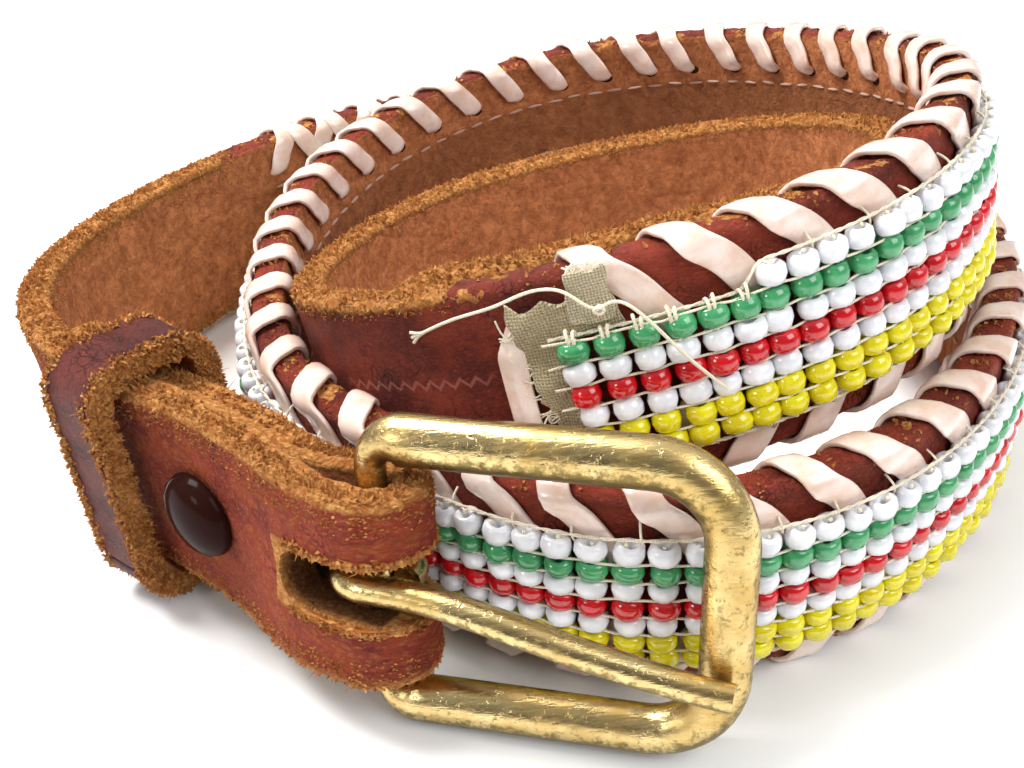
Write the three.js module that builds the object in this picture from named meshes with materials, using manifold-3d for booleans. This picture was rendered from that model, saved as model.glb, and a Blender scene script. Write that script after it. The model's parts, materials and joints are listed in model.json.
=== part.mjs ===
// A beaded leather belt, coiled and standing on its edge, with its buckle unfastened at the front.
// Lengths are in millimetres, +Z is up and the buckle looks towards -Y.
import * as THREE from "three";
import { mergeVertices } from "three/addons/utils/BufferGeometryUtils.js";
import Module from "manifold-3d";

const wasm = await Module();
wasm.setup();

// Strap
const beltWidth = 25.4;
const leatherThick = 4.2;
const beltLength = 948; // from the heel bar to the tip
const flapLength = 58; // what is folded back round the heel bar
const endWidth = 21.6; // the strap is trimmed narrower at the fold
const trimLength = 26;
const tipTaper = 16;
const tipWidth = 9;
const clearance = 0.3; // between pieces that touch

// Coil
const coilReach = 60;
const ringStep = 11; // spacing of the strap's sections
const foldStep = 4.2; // and where it lies double at the buckle
const laceRise = 0.9; // what the lacing lifts the laced edge off the surface

// Beads and lacing
const beadRows = 7;
const beadRowPitch = 2.45;
const beadDepth = 2.3;
const beadStart = 138;
const beadEnd = 688;
const laceWidth = 3.3;
const laceThick = 0.6;
const lacePitch = 8.5;
const laceStart = 130;
const laceEnd = 693;
const holeDepthOut = 2.7; // below the edge on the beaded face
const holeDepthIn = 5.2; // below the edge on the inner face
const laceLeanFace = 3; // how far a wrap moves along while it climbs the beaded face
const laceLeanEdge = 1.6; // and while it crosses the edge

// Bead cloth ends
const clothReach = 5.2;
const clothThick = 0.9;
const tapeWidth = 5;
const tapeHeight = 4.4;
const tapeThick = 0.7;

// Buckle
const heelBarRadius = 1.6;
const frameHalfWide = 2.75;
const frameHalfThick = 2.4;
const frameWidth = 30.6; // between the middles of the side bars
const frameLength = 36.2; // from the heel bar to the middle of the front bar
const frontCorner = 8;
const heelCorner = 3.2;
const buckleRestAngle = 17; // degrees that the frame is swung in from the strap's line

// Prong
const prongWide = 3.2;
const prongThick = 2.7;
const prongOverhang = 1.5;
const prongSag = 9.5; // the loose eye lets the point drop this far down the front bar
const slotWidth = 7;
const slotReach = 8.5;

// Keeper and snap
const keeperAt = 37.5;
const keeperWidth = 9;
const keeperThick = 2.8;
const keeperSlack = 1.8; // left free in front of the two layers
const snapAt = 24;
const snapRadius = 5.2;
const snapHeight = 2.9;
const snapPost = 1.6;
const snapFlange = 4.4;
const snapFlangeThick = 0.9;

// Prong holes in the tip
const tipHoleRadius = 1.7;
const tipHoleFirst = 24;
const tipHolePitch = 16;
const tipHoleCount = 4;

// The coil's route, seen from above: turn is the angle round the middle in degrees, clockwise from the
// front, reach is a share of coilReach, lift a share of beltWidth, and lean how far the top tips inwards.
const route = [
  { turn: 28, reach: 0.993, lift: 0.2, lean: 12 },
  { turn: 36, reach: 0.984, lift: 0.172, lean: 10 },
  { turn: 44, reach: 0.965, lift: 0.15, lean: 7 },
  { turn: 52, reach: 0.98, lift: 0.15, lean: 4 },
  { turn: 60, reach: 1.03, lift: 0.145, lean: 2 },
  { turn: 75, reach: 1.165, lift: 0.11, lean: 0 },
  { turn: 90, reach: 1.28, lift: 0.045, lean: -3 },
  { turn: 120, reach: 1.29, lift: 0.01, lean: -2 },
  { turn: 150, reach: 1.29, lift: 0, lean: 0 },
  { turn: 180, reach: 1.21, lift: 0, lean: 0 },
  { turn: 225, reach: 1.03, lift: 0, lean: 0 },
  { turn: 270, reach: 0.87, lift: 0, lean: 0 },
  { turn: 315, reach: 0.82, lift: 0, lean: 0 },
  { turn: 360, reach: 0.8, lift: 0, lean: 0 },
  { turn: 390, reach: 0.727, lift: 0, lean: 0 },
  { turn: 420, reach: 0.745, lift: 0.01, lean: 0 },
  { turn: 450, reach: 0.77, lift: 0.03, lean: 0 },
  { turn: 480, reach: 0.87, lift: 0.08, lean: -7 },
  { turn: 510, reach: 1.03, lift: 0.2, lean: -6 },
  { turn: 540, reach: 1.06, lift: 0.4, lean: 0 },
  { turn: 585, reach: 0.87, lift: 0.72, lean: 1 },
  { turn: 630, reach: 0.73, lift: 0.99, lean: 7 },
  { turn: 675, reach: 0.66, lift: 0.98, lean: 11 },
  { turn: 720, reach: 0.62, lift: 0.78, lean: 8 },
  { turn: 765, reach: 0.635, lift: 0.42, lean: -1 },
  { turn: 810, reach: 0.63, lift: 0.06, lean: -9 },
  { turn: 855, reach: 0.59, lift: 0.01, lean: -8 },
  { turn: 900, reach: 0.59, lift: 0.1, lean: -4 },
  { turn: 945, reach: 0.675, lift: 0.32, lean: -4 },
  { turn: 990, reach: 0.625, lift: 0.64, lean: 8 },
  { turn: 1035, reach: 0.49, lift: 0.74, lean: 13 },
  { turn: 1080, reach: 0.44, lift: 0.66, lean: 8 },
  { turn: 1125, reach: 0.6, lift: 0.52, lean: 0 },
];

// Materials
const leather = new THREE.MeshStandardMaterial({ color: 0x7a3420, roughness: 0.75, metalness: 0 });
const keeperLeather = new THREE.MeshStandardMaterial({ color: 0x6e3a34, roughness: 0.7, metalness: 0 });
const lacing = new THREE.MeshStandardMaterial({ color: 0xf0e0d4, roughness: 0.35, metalness: 0 });
const beads = new THREE.MeshStandardMaterial({ color: 0xe8e8ec, roughness: 0.2, metalness: 0 });
const canvas = new THREE.MeshStandardMaterial({ color: 0xbeaf8c, roughness: 0.95, metalness: 0 });
const brass = new THREE.MeshStandardMaterial({ color: 0xc8a550, roughness: 0.25, metalness: 1 });
const lacquer = new THREE.MeshStandardMaterial({ color: 0x321914, roughness: 0.1, metalness: 0 });

// A smooth curve through the rows of one column of the route: a natural cubic spline.
function splineThrough(turns, values) {
  const last = turns.length - 1;
  const bend = new Array(last + 1).fill(0);
  const factor = new Array(last + 1).fill(0);
  for (let i = 1; i < last; i++) {
    const before = turns[i] - turns[i - 1];
    const after = turns[i + 1] - turns[i];
    const jump = (values[i + 1] - values[i]) / after - (values[i] - values[i - 1]) / before;
    const pivot = 2 * (before + after) - before * factor[i - 1];
    factor[i] = after / pivot;
    bend[i] = (6 * jump - before * bend[i - 1]) / pivot;
  }
  for (let i = last - 1; i > 0; i--) bend[i] -= factor[i] * bend[i + 1];
  return (turn) => {
    let i = 0;
    while (i < last - 1 && turns[i + 1] < turn) i++;
    const gap = turns[i + 1] - turns[i];
    const a = (turns[i + 1] - turn) / gap;
    const b = 1 - a;
    const curve = ((a ** 3 - a) * bend[i] + (b ** 3 - b) * bend[i + 1]) * (gap * gap) / 6;
    return a * values[i] + b * values[i + 1] + curve;
  };
}

const turns = route.map((row) => row.turn);
const reachAt = splineThrough(turns, route.map((row) => row.reach));
const liftAt = splineThrough(turns, route.map((row) => row.lift));
const leanAt = splineThrough(turns, route.map((row) => row.lean));

// The middle of the strap at one turn of the coil.
function middleAt(turn) {
  const angle = THREE.MathUtils.degToRad(turn);
  const reach = reachAt(turn) * coilReach;
  const lean = THREE.MathUtils.degToRad(leanAt(turn));
  const height = laceRise + liftAt(turn) * beltWidth + (beltWidth / 2) * Math.cos(lean);
  return new THREE.Vector3(-reach * Math.sin(angle), -reach * Math.cos(angle), height);
}

// Length walked along the route at each degree, so that places can be given as lengths from the heel bar.
const walk = [{ turn: turns[0], length: 0 }];
for (let turn = turns[0] + 1; turn <= turns[turns.length - 1]; turn++) {
  const before = walk[walk.length - 1];
  walk.push({ turn, length: before.length + middleAt(turn).distanceTo(middleAt(before.turn)) });
}

function turnAt(length) {
  let i = 1;
  while (i < walk.length - 1 && walk[i].length < length) i++;
  const share = (length - walk[i - 1].length) / (walk[i].length - walk[i - 1].length);
  return walk[i - 1].turn + share * (walk[i].turn - walk[i - 1].turn);
}

// A section of the strap: its middle, the way along it, the way up its width and the way out of its face.
function sectionAt(length) {
  const turn = turnAt(length);
  const middle = middleAt(turn);
  const along = middleAt(turn + 0.5).sub(middleAt(turn - 0.5)).normalize();
  const upright = new THREE.Vector3(0, 0, 1).addScaledVector(along, -along.z).normalize();
  const outward = new THREE.Vector3().crossVectors(upright, along);
  const lean = THREE.MathUtils.degToRad(leanAt(turn));
  const up = upright.clone().multiplyScalar(Math.cos(lean)).addScaledVector(outward, -Math.sin(lean));
  const out = outward.multiplyScalar(Math.cos(lean)).addScaledVector(upright, Math.sin(lean));
  return { length, middle, along, up, out };
}

const rings = [];
const foldSteps = Math.ceil(flapLength / foldStep);
for (let i = 0; i < foldSteps; i++) rings.push(sectionAt((flapLength * i) / foldSteps));
const ringCount = Math.round((beltLength - tipTaper - flapLength) / ringStep);
for (let i = 0; i <= ringCount; i++) {
  rings.push(sectionAt(flapLength + ((beltLength - tipTaper - flapLength) * i) / ringCount));
}
for (const share of [0.35, 0.65, 0.85, 1]) rings.push(sectionAt(beltLength - tipTaper * (1 - share)));

// The same section read off the faceted strap, between two of its rings.
function onStrap(length) {
  let i = 1;
  while (i < rings.length - 1 && rings[i].length < length) i++;
  const [a, b] = [rings[i - 1], rings[i]];
  const share = (length - a.length) / (b.length - a.length);
  const mix = (key) => a[key].clone().lerp(b[key], share);
  return { length, middle: mix("middle"), along: mix("along"), up: mix("up"), out: mix("out") };
}

function place(section, upBy, outBy, alongBy = 0) {
  return section.middle.clone()
    .addScaledVector(section.up, upBy)
    .addScaledVector(section.out, outBy)
    .addScaledVector(section.along, alongBy);
}

// Sections from one length to another, with the strap's own rings between them.
function stretch(from, to) {
  const inner = rings.filter((ring) => ring.length > from + 0.5 && ring.length < to - 0.5);
  return [onStrap(from), ...inner, onStrap(to)];
}

// Turns a closed mesh's faces outwards.
function faceOutwards(geometry) {
  const at = geometry.getAttribute("position");
  const index = geometry.getIndex().array;
  const [a, b, c] = [new THREE.Vector3(), new THREE.Vector3(), new THREE.Vector3()];
  let volume = 0;
  for (let i = 0; i < index.length; i += 3) {
    a.fromBufferAttribute(at, index[i]);
    b.fromBufferAttribute(at, index[i + 1]);
    c.fromBufferAttribute(at, index[i + 2]);
    volume += a.dot(b.cross(c));
  }
  if (volume < 0) {
    for (let i = 0; i < index.length; i += 3) [index[i], index[i + 1]] = [index[i + 1], index[i]];
  }
  return geometry;
}

// A solid through a row of outlines, each a list of points in space; outline is the flat shape of its ends.
function loft(outlines, outline, closed = false) {
  const sides = outlines[0].length;
  const index = [];
  const spans = closed ? outlines.length : outlines.length - 1;
  for (let i = 0; i < spans; i++) {
    const next = (i + 1) % outlines.length;
    for (let j = 0; j < sides; j++) {
      const k = (j + 1) % sides;
      index.push(i * sides + j, next * sides + j, next * sides + k);
      index.push(i * sides + j, next * sides + k, i * sides + k);
    }
  }
  if (!closed) {
    const end = (outlines.length - 1) * sides;
    const around = Math.sign(THREE.ShapeUtils.area(outline));
    for (const [a, b, c] of THREE.ShapeUtils.triangulateShape(outline, [])) {
      const same = Math.sign(THREE.ShapeUtils.area([outline[a], outline[b], outline[c]])) === around;
      const [p, q] = same ? [a, c] : [c, a];
      index.push(p, b, q, end + q, end + b, end + p);
    }
  }
  const geometry = new THREE.BufferGeometry();
  geometry.setAttribute("position", new THREE.Float32BufferAttribute(outlines.flat().flatMap((p) => p.toArray()), 3));
  geometry.setIndex(index);
  return faceOutwards(geometry);
}

function solidOf(geometry) {
  const bare = new THREE.BufferGeometry();
  bare.setAttribute("position", geometry.getAttribute("position").clone());
  if (geometry.getIndex()) bare.setIndex(geometry.getIndex().clone());
  const merged = mergeVertices(bare, 1e-4);
  return new wasm.Manifold(new wasm.Mesh({
    numProp: 3,
    vertProperties: new Float32Array(merged.getAttribute("position").array),
    triVerts: new Uint32Array(merged.getIndex().array),
  }));
}

function cut(geometry, cutters) {
  let solid = solidOf(geometry);
  for (const cutter of cutters) solid = solid.subtract(solidOf(cutter));
  const mesh = solid.getMesh();
  const result = new THREE.BufferGeometry();
  result.setAttribute("position", new THREE.BufferAttribute(new Float32Array(mesh.vertProperties), 3));
  result.setIndex(new THREE.BufferAttribute(new Uint32Array(mesh.triVerts), 1));
  return result;
}

// Puts a geometry in a frame of three directions at a point.
function settle(geometry, x, y, z, at) {
  const basis = new THREE.Matrix4().makeBasis(x, y, z).setPosition(at);
  return geometry.applyMatrix4(basis);
}

const flat = (u, n) => new THREE.Vector2(u, n);

function strapOutline(width) {
  const [w, h] = [width / 2, leatherThick / 2];
  return [flat(w, h), flat(-w, h), flat(-w, -h), flat(w, -h)];
}

function widthAt(length) {
  if (length < trimLength) return endWidth + (beltWidth - endWidth) * (length / trimLength);
  const intoTip = Math.max(0, (length - (beltLength - tipTaper)) / tipTaper);
  return beltWidth - (beltWidth - tipWidth) * intoTip ** 2.2;
}

// Heel: the strap bends round the bar and lies back behind itself.
const heel = rings[0];
const foldRadius = heelBarRadius + clearance + leatherThick / 2;
const barMiddle = place(heel, 0, -foldRadius);
const layerStep = leatherThick + clearance;
const foldEase = 15;

function flapDrop(length) {
  const ease = THREE.MathUtils.smoothstep(length, 0, foldEase);
  return 2 * foldRadius + (layerStep - 2 * foldRadius) * ease;
}

const strapSections = [];
for (let i = foldSteps; i > 0; i--) {
  const front = rings[i];
  strapSections.push({ ...front, middle: place(front, 0, -flapDrop(front.length)), out: front.out.clone().negate(),
    width: endWidth });
}
for (let angle = 180; angle > 0; angle -= 22.5) {
  const turn = THREE.MathUtils.degToRad(angle);
  const out = heel.out.clone().multiplyScalar(Math.cos(turn)).addScaledVector(heel.along, -Math.sin(turn));
  const middle = barMiddle.clone().addScaledVector(out, foldRadius);
  strapSections.push({ middle, along: heel.along, up: heel.up, out, width: endWidth });
}
for (const ring of rings) strapSections.push({ ...ring, width: widthAt(ring.length) });

const strapBody = loft(
  strapSections.map((section) => strapOutline(section.width).map((p) => place(section, p.x, p.y))),
  strapOutline(endWidth),
);

// Prong slot through the fold
const foldOuter = foldRadius + leatherThick / 2 + clearance;
const slotCut = settle(new THREE.BoxGeometry(slotReach + foldOuter, 2 * foldOuter, slotWidth),
  heel.along, heel.out, heel.up,
  barMiddle.clone().addScaledVector(heel.along, (slotReach - foldOuter) / 2));

// Snap hole through both layers
const snapSeat = onStrap(snapAt);
const snapDepth = layerStep + leatherThick;
const snapCut = settle(new THREE.CylinderGeometry(snapPost + clearance, snapPost + clearance, 2.4 * snapDepth, 8),
  snapSeat.along, snapSeat.out, snapSeat.up, snapSeat.middle);

const tipHoleCuts = [];
for (let i = 0; i < tipHoleCount; i++) {
  const seat = onStrap(beltLength - tipHoleFirst - i * tipHolePitch);
  tipHoleCuts.push(settle(new THREE.CylinderGeometry(tipHoleRadius, tipHoleRadius, 2 * leatherThick, 8),
    seat.along, seat.out, seat.up, seat.middle));
}

// Lacing holes slope from the inner face up to the beaded face, one for each wrap. side is 1 for the
// upper edge and -1 for the lower one.
const wraps = Math.floor((laceEnd - laceStart) / lacePitch);
const holeGap = laceThick + 2 * clearance;

function laceHole(length, side) {
  const seat = onStrap(length);
  const edge = beltWidth / 2;
  const mouthOut = place(seat, side * (edge - holeDepthOut), leatherThick / 2);
  const mouthIn = place(seat, side * (edge - holeDepthIn), -leatherThick / 2);
  const through = mouthOut.clone().sub(mouthIn).normalize();
  const across = seat.along.clone().addScaledVector(through, -seat.along.dot(through)).normalize();
  const down = new THREE.Vector3().crossVectors(through, across);
  if (down.dot(seat.up) * side > 0) down.negate();
  const middle = mouthOut.add(mouthIn).multiplyScalar(0.5).addScaledVector(down, holeGap / 2);
  const third = new THREE.Vector3().crossVectors(across, through);
  return settle(new THREE.BoxGeometry(laceWidth + 2 * clearance, 1.6 * leatherThick, holeGap),
    across, through, third, middle);
}

const laceCuts = [];
for (const side of [1, -1]) {
  for (let i = 1; i < wraps; i++) laceCuts.push(laceHole(laceStart + i * lacePitch, side));
}

const strap = cut(strapBody, [slotCut, snapCut, ...tipHoleCuts, ...laceCuts]);

// Whip lacing: each wrap climbs the beaded face, crosses the edge, comes down the inner face and goes
// back through its hole.
function lacingSolid(side) {
  const edge = beltWidth / 2;
  const half = leatherThick / 2;
  const corners = [flat(edge - holeDepthOut, half), flat(edge, half), flat(edge, -half), flat(edge - holeDepthIn, -half)];
  const normals = corners.map((corner, i) => {
    const next = corners[(i + 1) % corners.length];
    return flat(next.y - corner.y, corner.x - next.x).normalize().negate();
  });
  const offset = (i, by) => {
    const [before, after] = [normals[(i + 3) % 4], normals[i]];
    const bisector = before.clone().add(after).divideScalar(1 + before.dot(after));
    return corners[i].clone().addScaledVector(bisector, by);
  };
  const moves = [0, laceLeanFace, laceLeanFace + laceLeanEdge, lacePitch];
  const outlines = [];
  for (let wrap = 0; wrap < wraps; wrap++) {
    for (let i = 0; i < 4; i++) {
      const seat = onStrap(laceStart + wrap * lacePitch + moves[i]);
      const [low, high] = [offset(i, clearance), offset(i, clearance + laceThick)];
      outlines.push([
        place(seat, side * low.x, low.y, -laceWidth / 2),
        place(seat, side * low.x, low.y, laceWidth / 2),
        place(seat, side * high.x, high.y, laceWidth / 2),
        place(seat, side * high.x, high.y, -laceWidth / 2),
      ]);
    }
  }
  return loft(outlines, [flat(0, 0), flat(1, 0), flat(1, 1), flat(0, 1)]);
}

// Bead band: rounded rows on a flat back.
const bandHalf = (beadRows * beadRowPitch) / 2;
const bandBack = leatherThick / 2 + clearance;
const bandOutline = [flat(-bandHalf, bandBack)];
for (let row = 0; row < beadRows; row++) {
  const low = -bandHalf + row * beadRowPitch;
  bandOutline.push(flat(low + beadRowPitch / 2, bandBack + beadDepth));
  if (row < beadRows - 1) bandOutline.push(flat(low + beadRowPitch, bandBack + beadDepth * 0.65));
}
bandOutline.push(flat(bandHalf, bandBack));

function plate(outline, from, to) {
  return loft(stretch(from, to).map((section) => outline.map((p) => place(section, p.x, p.y))), outline);
}

function slab(low, high, back, thick) {
  return [flat(low, back), flat(low, back + thick), flat(high, back + thick), flat(high, back)];
}

const tapeBack = leatherThick / 2 + laceThick + 2 * clearance;
const crossingAt = beadEnd + clothReach + 3 * clearance;

// Buckle frame: a closed loop of bar, thinner along the heel.
const swing = THREE.MathUtils.degToRad(buckleRestAngle);
const reachOut = heel.along.clone().multiplyScalar(-Math.cos(swing)).addScaledVector(heel.out, -Math.sin(swing));
const faceOut = heel.out.clone().multiplyScalar(Math.cos(swing)).addScaledVector(heel.along, -Math.sin(swing));
const halfFrame = frameWidth / 2;

function inBuckle(x, y, z) {
  return barMiddle.clone()
    .addScaledVector(reachOut, x)
    .addScaledVector(heel.up, y)
    .addScaledVector(faceOut, z);
}

const frameCorners = [
  { x: heelCorner, y: halfFrame - heelCorner, radius: heelCorner, from: 180 },
  { x: frameLength - frontCorner, y: halfFrame - frontCorner, radius: frontCorner, from: 90 },
  { x: frameLength - frontCorner, y: frontCorner - halfFrame, radius: frontCorner, from: 0 },
  { x: heelCorner, y: heelCorner - halfFrame, radius: heelCorner, from: -90 },
];
const frameOutlines = [];
for (const corner of frameCorners) {
  for (let step = 0; step <= 5; step++) {
    const angle = THREE.MathUtils.degToRad(corner.from - 18 * step);
    const [x, y] = [Math.cos(angle), Math.sin(angle)];
    const thin = THREE.MathUtils.smoothstep(corner.x + corner.radius * x, 0, heelCorner);
    const wide = heelBarRadius + (frameHalfWide - heelBarRadius) * thin;
    const thick = heelBarRadius + (frameHalfThick - heelBarRadius) * thin;
    const outline = [];
    for (let side = 0; side < 8; side++) {
      const round = THREE.MathUtils.degToRad(22.5 + 45 * side);
      const reach = corner.radius + wide * Math.cos(round);
      outline.push(inBuckle(corner.x + reach * x, corner.y + reach * y, thick * Math.sin(round)));
    }
    frameOutlines.push(outline);
  }
}

// Prong: an open eye round the heel bar, then a shank that rests on the front bar.
const eyeRadius = heelBarRadius + clearance + prongThick / 2 + 0.2;
const restHeight = frameHalfThick + clearance + prongThick / 2;
const prongPath = [];
for (let angle = 15; angle >= -270; angle -= 28.5) {
  const turn = THREE.MathUtils.degToRad(angle);
  prongPath.push({ x: eyeRadius * Math.cos(turn), z: eyeRadius * Math.sin(turn), turn: turn + Math.PI / 2, drop: 0 });
}
for (const share of [0.2, 0.4, 0.6, 0.8, 1]) {
  const height = eyeRadius + (restHeight - eyeRadius) * share;
  const drop = prongSag * THREE.MathUtils.smoothstep(share, -0.1, 1.15);
  prongPath.push({ x: (frameLength + prongOverhang) * share, z: height, turn: -Math.PI, drop });
}
const prongOutlines = prongPath.map(({ x, z, turn, drop }) => {
  const outline = [];
  for (let side = 0; side < 8; side++) {
    const round = THREE.MathUtils.degToRad(22.5 + 45 * side);
    const out = (prongThick / 2) * Math.cos(round);
    const normal = { x: -Math.cos(turn + Math.PI / 2), z: -Math.sin(turn + Math.PI / 2) };
    outline.push(inBuckle(x + normal.x * out, (prongWide / 2) * Math.sin(round) - drop, z + normal.z * out));
  }
  return outline;
});
const octagon = [...Array(8).keys()].map((side) => flat(Math.cos(side * Math.PI / 4), Math.sin(side * Math.PI / 4)));

// Keeper: a loop of leather round both layers.
const keeperSeat = onStrap(keeperAt);
function roundedFrame(path, low, high, back, front, radius) {
  path.moveTo(front, low + radius);
  path.lineTo(front, high - radius);
  path.absarc(front - radius, high - radius, radius, 0, Math.PI / 2, false);
  path.absarc(back + radius, high - radius, radius, Math.PI / 2, Math.PI, false);
  path.absarc(back + radius, low + radius, radius, Math.PI, 1.5 * Math.PI, false);
  path.absarc(front - radius, low + radius, radius, 1.5 * Math.PI, 2 * Math.PI, false);
  path.closePath();
  return path;
}
const keeperBack = -(layerStep + leatherThick / 2 + 2 * clearance);
const keeperFront = leatherThick / 2 + keeperSlack;
const keeperHalf = beltWidth / 2 + 2 * clearance;
const keeperShape = roundedFrame(new THREE.Shape(), -keeperHalf - keeperThick, keeperHalf + keeperThick,
  keeperBack - keeperThick, keeperFront + keeperThick, keeperThick);
keeperShape.holes.push(roundedFrame(new THREE.Path(), -keeperHalf, keeperHalf, keeperBack, keeperFront, 1));
const keeper = settle(
  new THREE.ExtrudeGeometry(keeperShape, { depth: keeperWidth, bevelEnabled: false, curveSegments: 3 })
    .translate(0, 0, -keeperWidth / 2),
  keeperSeat.out, keeperSeat.up, keeperSeat.along, keeperSeat.middle);

// Snap: a domed cap, a post through both layers and a flange behind them.
const capBase = leatherThick / 2 + clearance;
const flangeFace = -(layerStep + leatherThick / 2 + clearance);
const snapProfile = [flat(0, flangeFace - snapFlangeThick), flat(snapFlange, flangeFace - snapFlangeThick),
  flat(snapFlange, flangeFace), flat(snapPost, flangeFace), flat(snapPost, capBase), flat(snapRadius, capBase)];
for (const angle of [15, 35, 60, 90]) {
  const turn = THREE.MathUtils.degToRad(angle);
  const radius = angle === 90 ? 0 : snapRadius * Math.cos(turn);
  snapProfile.push(flat(radius, capBase + snapHeight * Math.sin(turn)));
}
const snap = settle(new THREE.LatheGeometry(snapProfile, 14),
  snapSeat.along, snapSeat.out, snapSeat.up, snapSeat.middle);

// The belt
const coil = new THREE.Group();
function add(name, geometry, material) {
  const bare = new THREE.BufferGeometry();
  bare.setAttribute("position", geometry.getAttribute("position"));
  bare.setIndex(geometry.getIndex());
  const mesh = new THREE.Mesh(faceOutwards(mergeVertices(bare, 1e-4)), material);
  mesh.name = name;
  coil.add(mesh);
}

add("strap", strap, leather);
add("keeper_loop", keeper, keeperLeather);
add("snap_stud", snap, lacquer);
add("buckle_frame", loft(frameOutlines, octagon, true), brass);
add("prong", loft(prongOutlines, octagon), brass);
add("bead_band", plate(bandOutline, beadStart, beadEnd), beads);
add("edge_lacing_upper", lacingSolid(1), lacing);
add("edge_lacing_lower", lacingSolid(-1), lacing);
add("lace_crossing", plate(slab(-beltWidth / 2, beltWidth / 2, bandBack, laceThick),
  crossingAt, crossingAt + laceWidth), lacing);
add("canvas_end", plate(slab(-bandHalf, bandHalf, bandBack, clothThick), beadEnd + clearance,
  beadEnd + clothReach), canvas);
add("tape_tab", plate(slab(bandHalf + clearance, bandHalf + clearance + tapeHeight, tapeBack, tapeThick),
  beadEnd - tapeWidth, beadEnd), canvas);

// The origin is on the surface, under the middle of the whole.
const extent = new THREE.Box3().setFromObject(coil);
coil.position.set(-(extent.min.x + extent.max.x) / 2, -(extent.min.y + extent.max.y) / 2, -extent.min.z);

const belt = new THREE.Group();
belt.add(coil);

export default belt;
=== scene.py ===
import json
import math
import random

import bpy
import numpy as np
from mathutils import Matrix, Vector, noise


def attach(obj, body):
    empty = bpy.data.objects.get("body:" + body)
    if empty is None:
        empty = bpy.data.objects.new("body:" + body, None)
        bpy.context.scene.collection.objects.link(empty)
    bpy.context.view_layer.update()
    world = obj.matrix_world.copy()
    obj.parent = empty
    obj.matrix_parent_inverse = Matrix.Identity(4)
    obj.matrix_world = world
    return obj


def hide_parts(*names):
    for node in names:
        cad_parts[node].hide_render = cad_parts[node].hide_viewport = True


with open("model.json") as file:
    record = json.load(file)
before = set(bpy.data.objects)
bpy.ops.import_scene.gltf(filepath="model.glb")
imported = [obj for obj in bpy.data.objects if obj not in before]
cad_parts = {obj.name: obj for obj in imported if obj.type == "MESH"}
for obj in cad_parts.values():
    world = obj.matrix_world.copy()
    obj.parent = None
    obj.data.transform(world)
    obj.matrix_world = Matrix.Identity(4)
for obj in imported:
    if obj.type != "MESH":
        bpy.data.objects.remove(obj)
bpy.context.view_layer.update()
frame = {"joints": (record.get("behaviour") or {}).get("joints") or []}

dice = random.Random(11)
heelJoint = next(joint for joint in frame["joints"] if joint["name"] == "buckle_swing")

print("route")
belt = {"width": 25.4, "thick": 4.2, "length": 948, "flap": 58, "endWidth": 21.6, "trimLength": 26,
        "tipTaper": 16, "tipWidth": 9, "gap": 0.3, "coilReach": 60, "laceRise": 0.9, "heelBarRadius": 1.6,
        "foldEase": 15}

# Seen from above: the turn in degrees, clockwise from the front, the reach as a share of coilReach, the
# lift as a share of the width, and how far the top leans inwards in degrees.
route = [
    (28, 0.993, 0.2, 12), (36, 0.984, 0.172, 10), (44, 0.965, 0.15, 7), (52, 0.98, 0.15, 4),
    (60, 1.03, 0.145, 2), (75, 1.165, 0.11, 0), (90, 1.28, 0.045, -3), (120, 1.29, 0.01, -2),
    (150, 1.29, 0, 0), (180, 1.21, 0, 0), (225, 1.03, 0, 0), (270, 0.87, 0, 0), (315, 0.82, 0, 0),
    (360, 0.8, 0, 0), (390, 0.727, 0, 0), (420, 0.745, 0.01, 0), (450, 0.77, 0.03, 0),
    (480, 0.87, 0.08, -7), (510, 1.03, 0.2, -6), (540, 1.06, 0.4, 0), (585, 0.87, 0.72, 1),
    (630, 0.73, 0.99, 7), (675, 0.66, 0.98, 11), (720, 0.62, 0.78, 8), (765, 0.635, 0.42, -1),
    (810, 0.63, 0.06, -9), (855, 0.59, 0.01, -8), (900, 0.59, 0.1, -4), (945, 0.675, 0.32, -4),
    (990, 0.625, 0.64, 8), (1035, 0.49, 0.74, 13), (1080, 0.44, 0.66, 8), (1125, 0.6, 0.52, 0),
]


def smoothThrough(turns, values):        # a natural cubic spline
    last = len(turns) - 1
    gaps = np.diff(turns)
    matrix = np.eye(last + 1)
    jumps = np.zeros(last + 1)
    for i in range(1, last):
        matrix[i, i - 1:i + 2] = gaps[i - 1], 2 * (gaps[i - 1] + gaps[i]), gaps[i]
        jumps[i] = 6 * ((values[i + 1] - values[i]) / gaps[i] - (values[i] - values[i - 1]) / gaps[i - 1])
    bends = np.linalg.solve(matrix, jumps)

    def at(turn):
        i = np.clip(np.searchsorted(turns, turn) - 1, 0, last - 1)
        a = (turns[i + 1] - turn) / gaps[i]
        b = 1 - a
        curve = ((a ** 3 - a) * bends[i] + (b ** 3 - b) * bends[i + 1]) * gaps[i] ** 2 / 6
        return a * values[i] + b * values[i + 1] + curve
    return at


turns, reaches, lifts, leans = np.array(route, float).T
reachAt = smoothThrough(turns, reaches)
liftAt = smoothThrough(turns, lifts)
leanAt = smoothThrough(turns, leans)


def middleAt(turn):
    angle = np.radians(turn)
    reach = reachAt(turn) * belt["coilReach"]
    height = belt["laceRise"] + liftAt(turn) * belt["width"]
    height = height + belt["width"] / 2 * np.cos(np.radians(leanAt(turn)))
    return np.stack([-reach * np.sin(angle), -reach * np.cos(angle), height], axis=-1)


walkTurns = np.arange(turns[0], turns[-1] + 1)
walkSteps = np.linalg.norm(np.diff(middleAt(walkTurns), axis=0), axis=1)
walkLengths = np.concatenate([[0], np.cumsum(walkSteps)])


def unit(vectors):
    return vectors / np.linalg.norm(vectors, axis=-1, keepdims=True)


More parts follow.
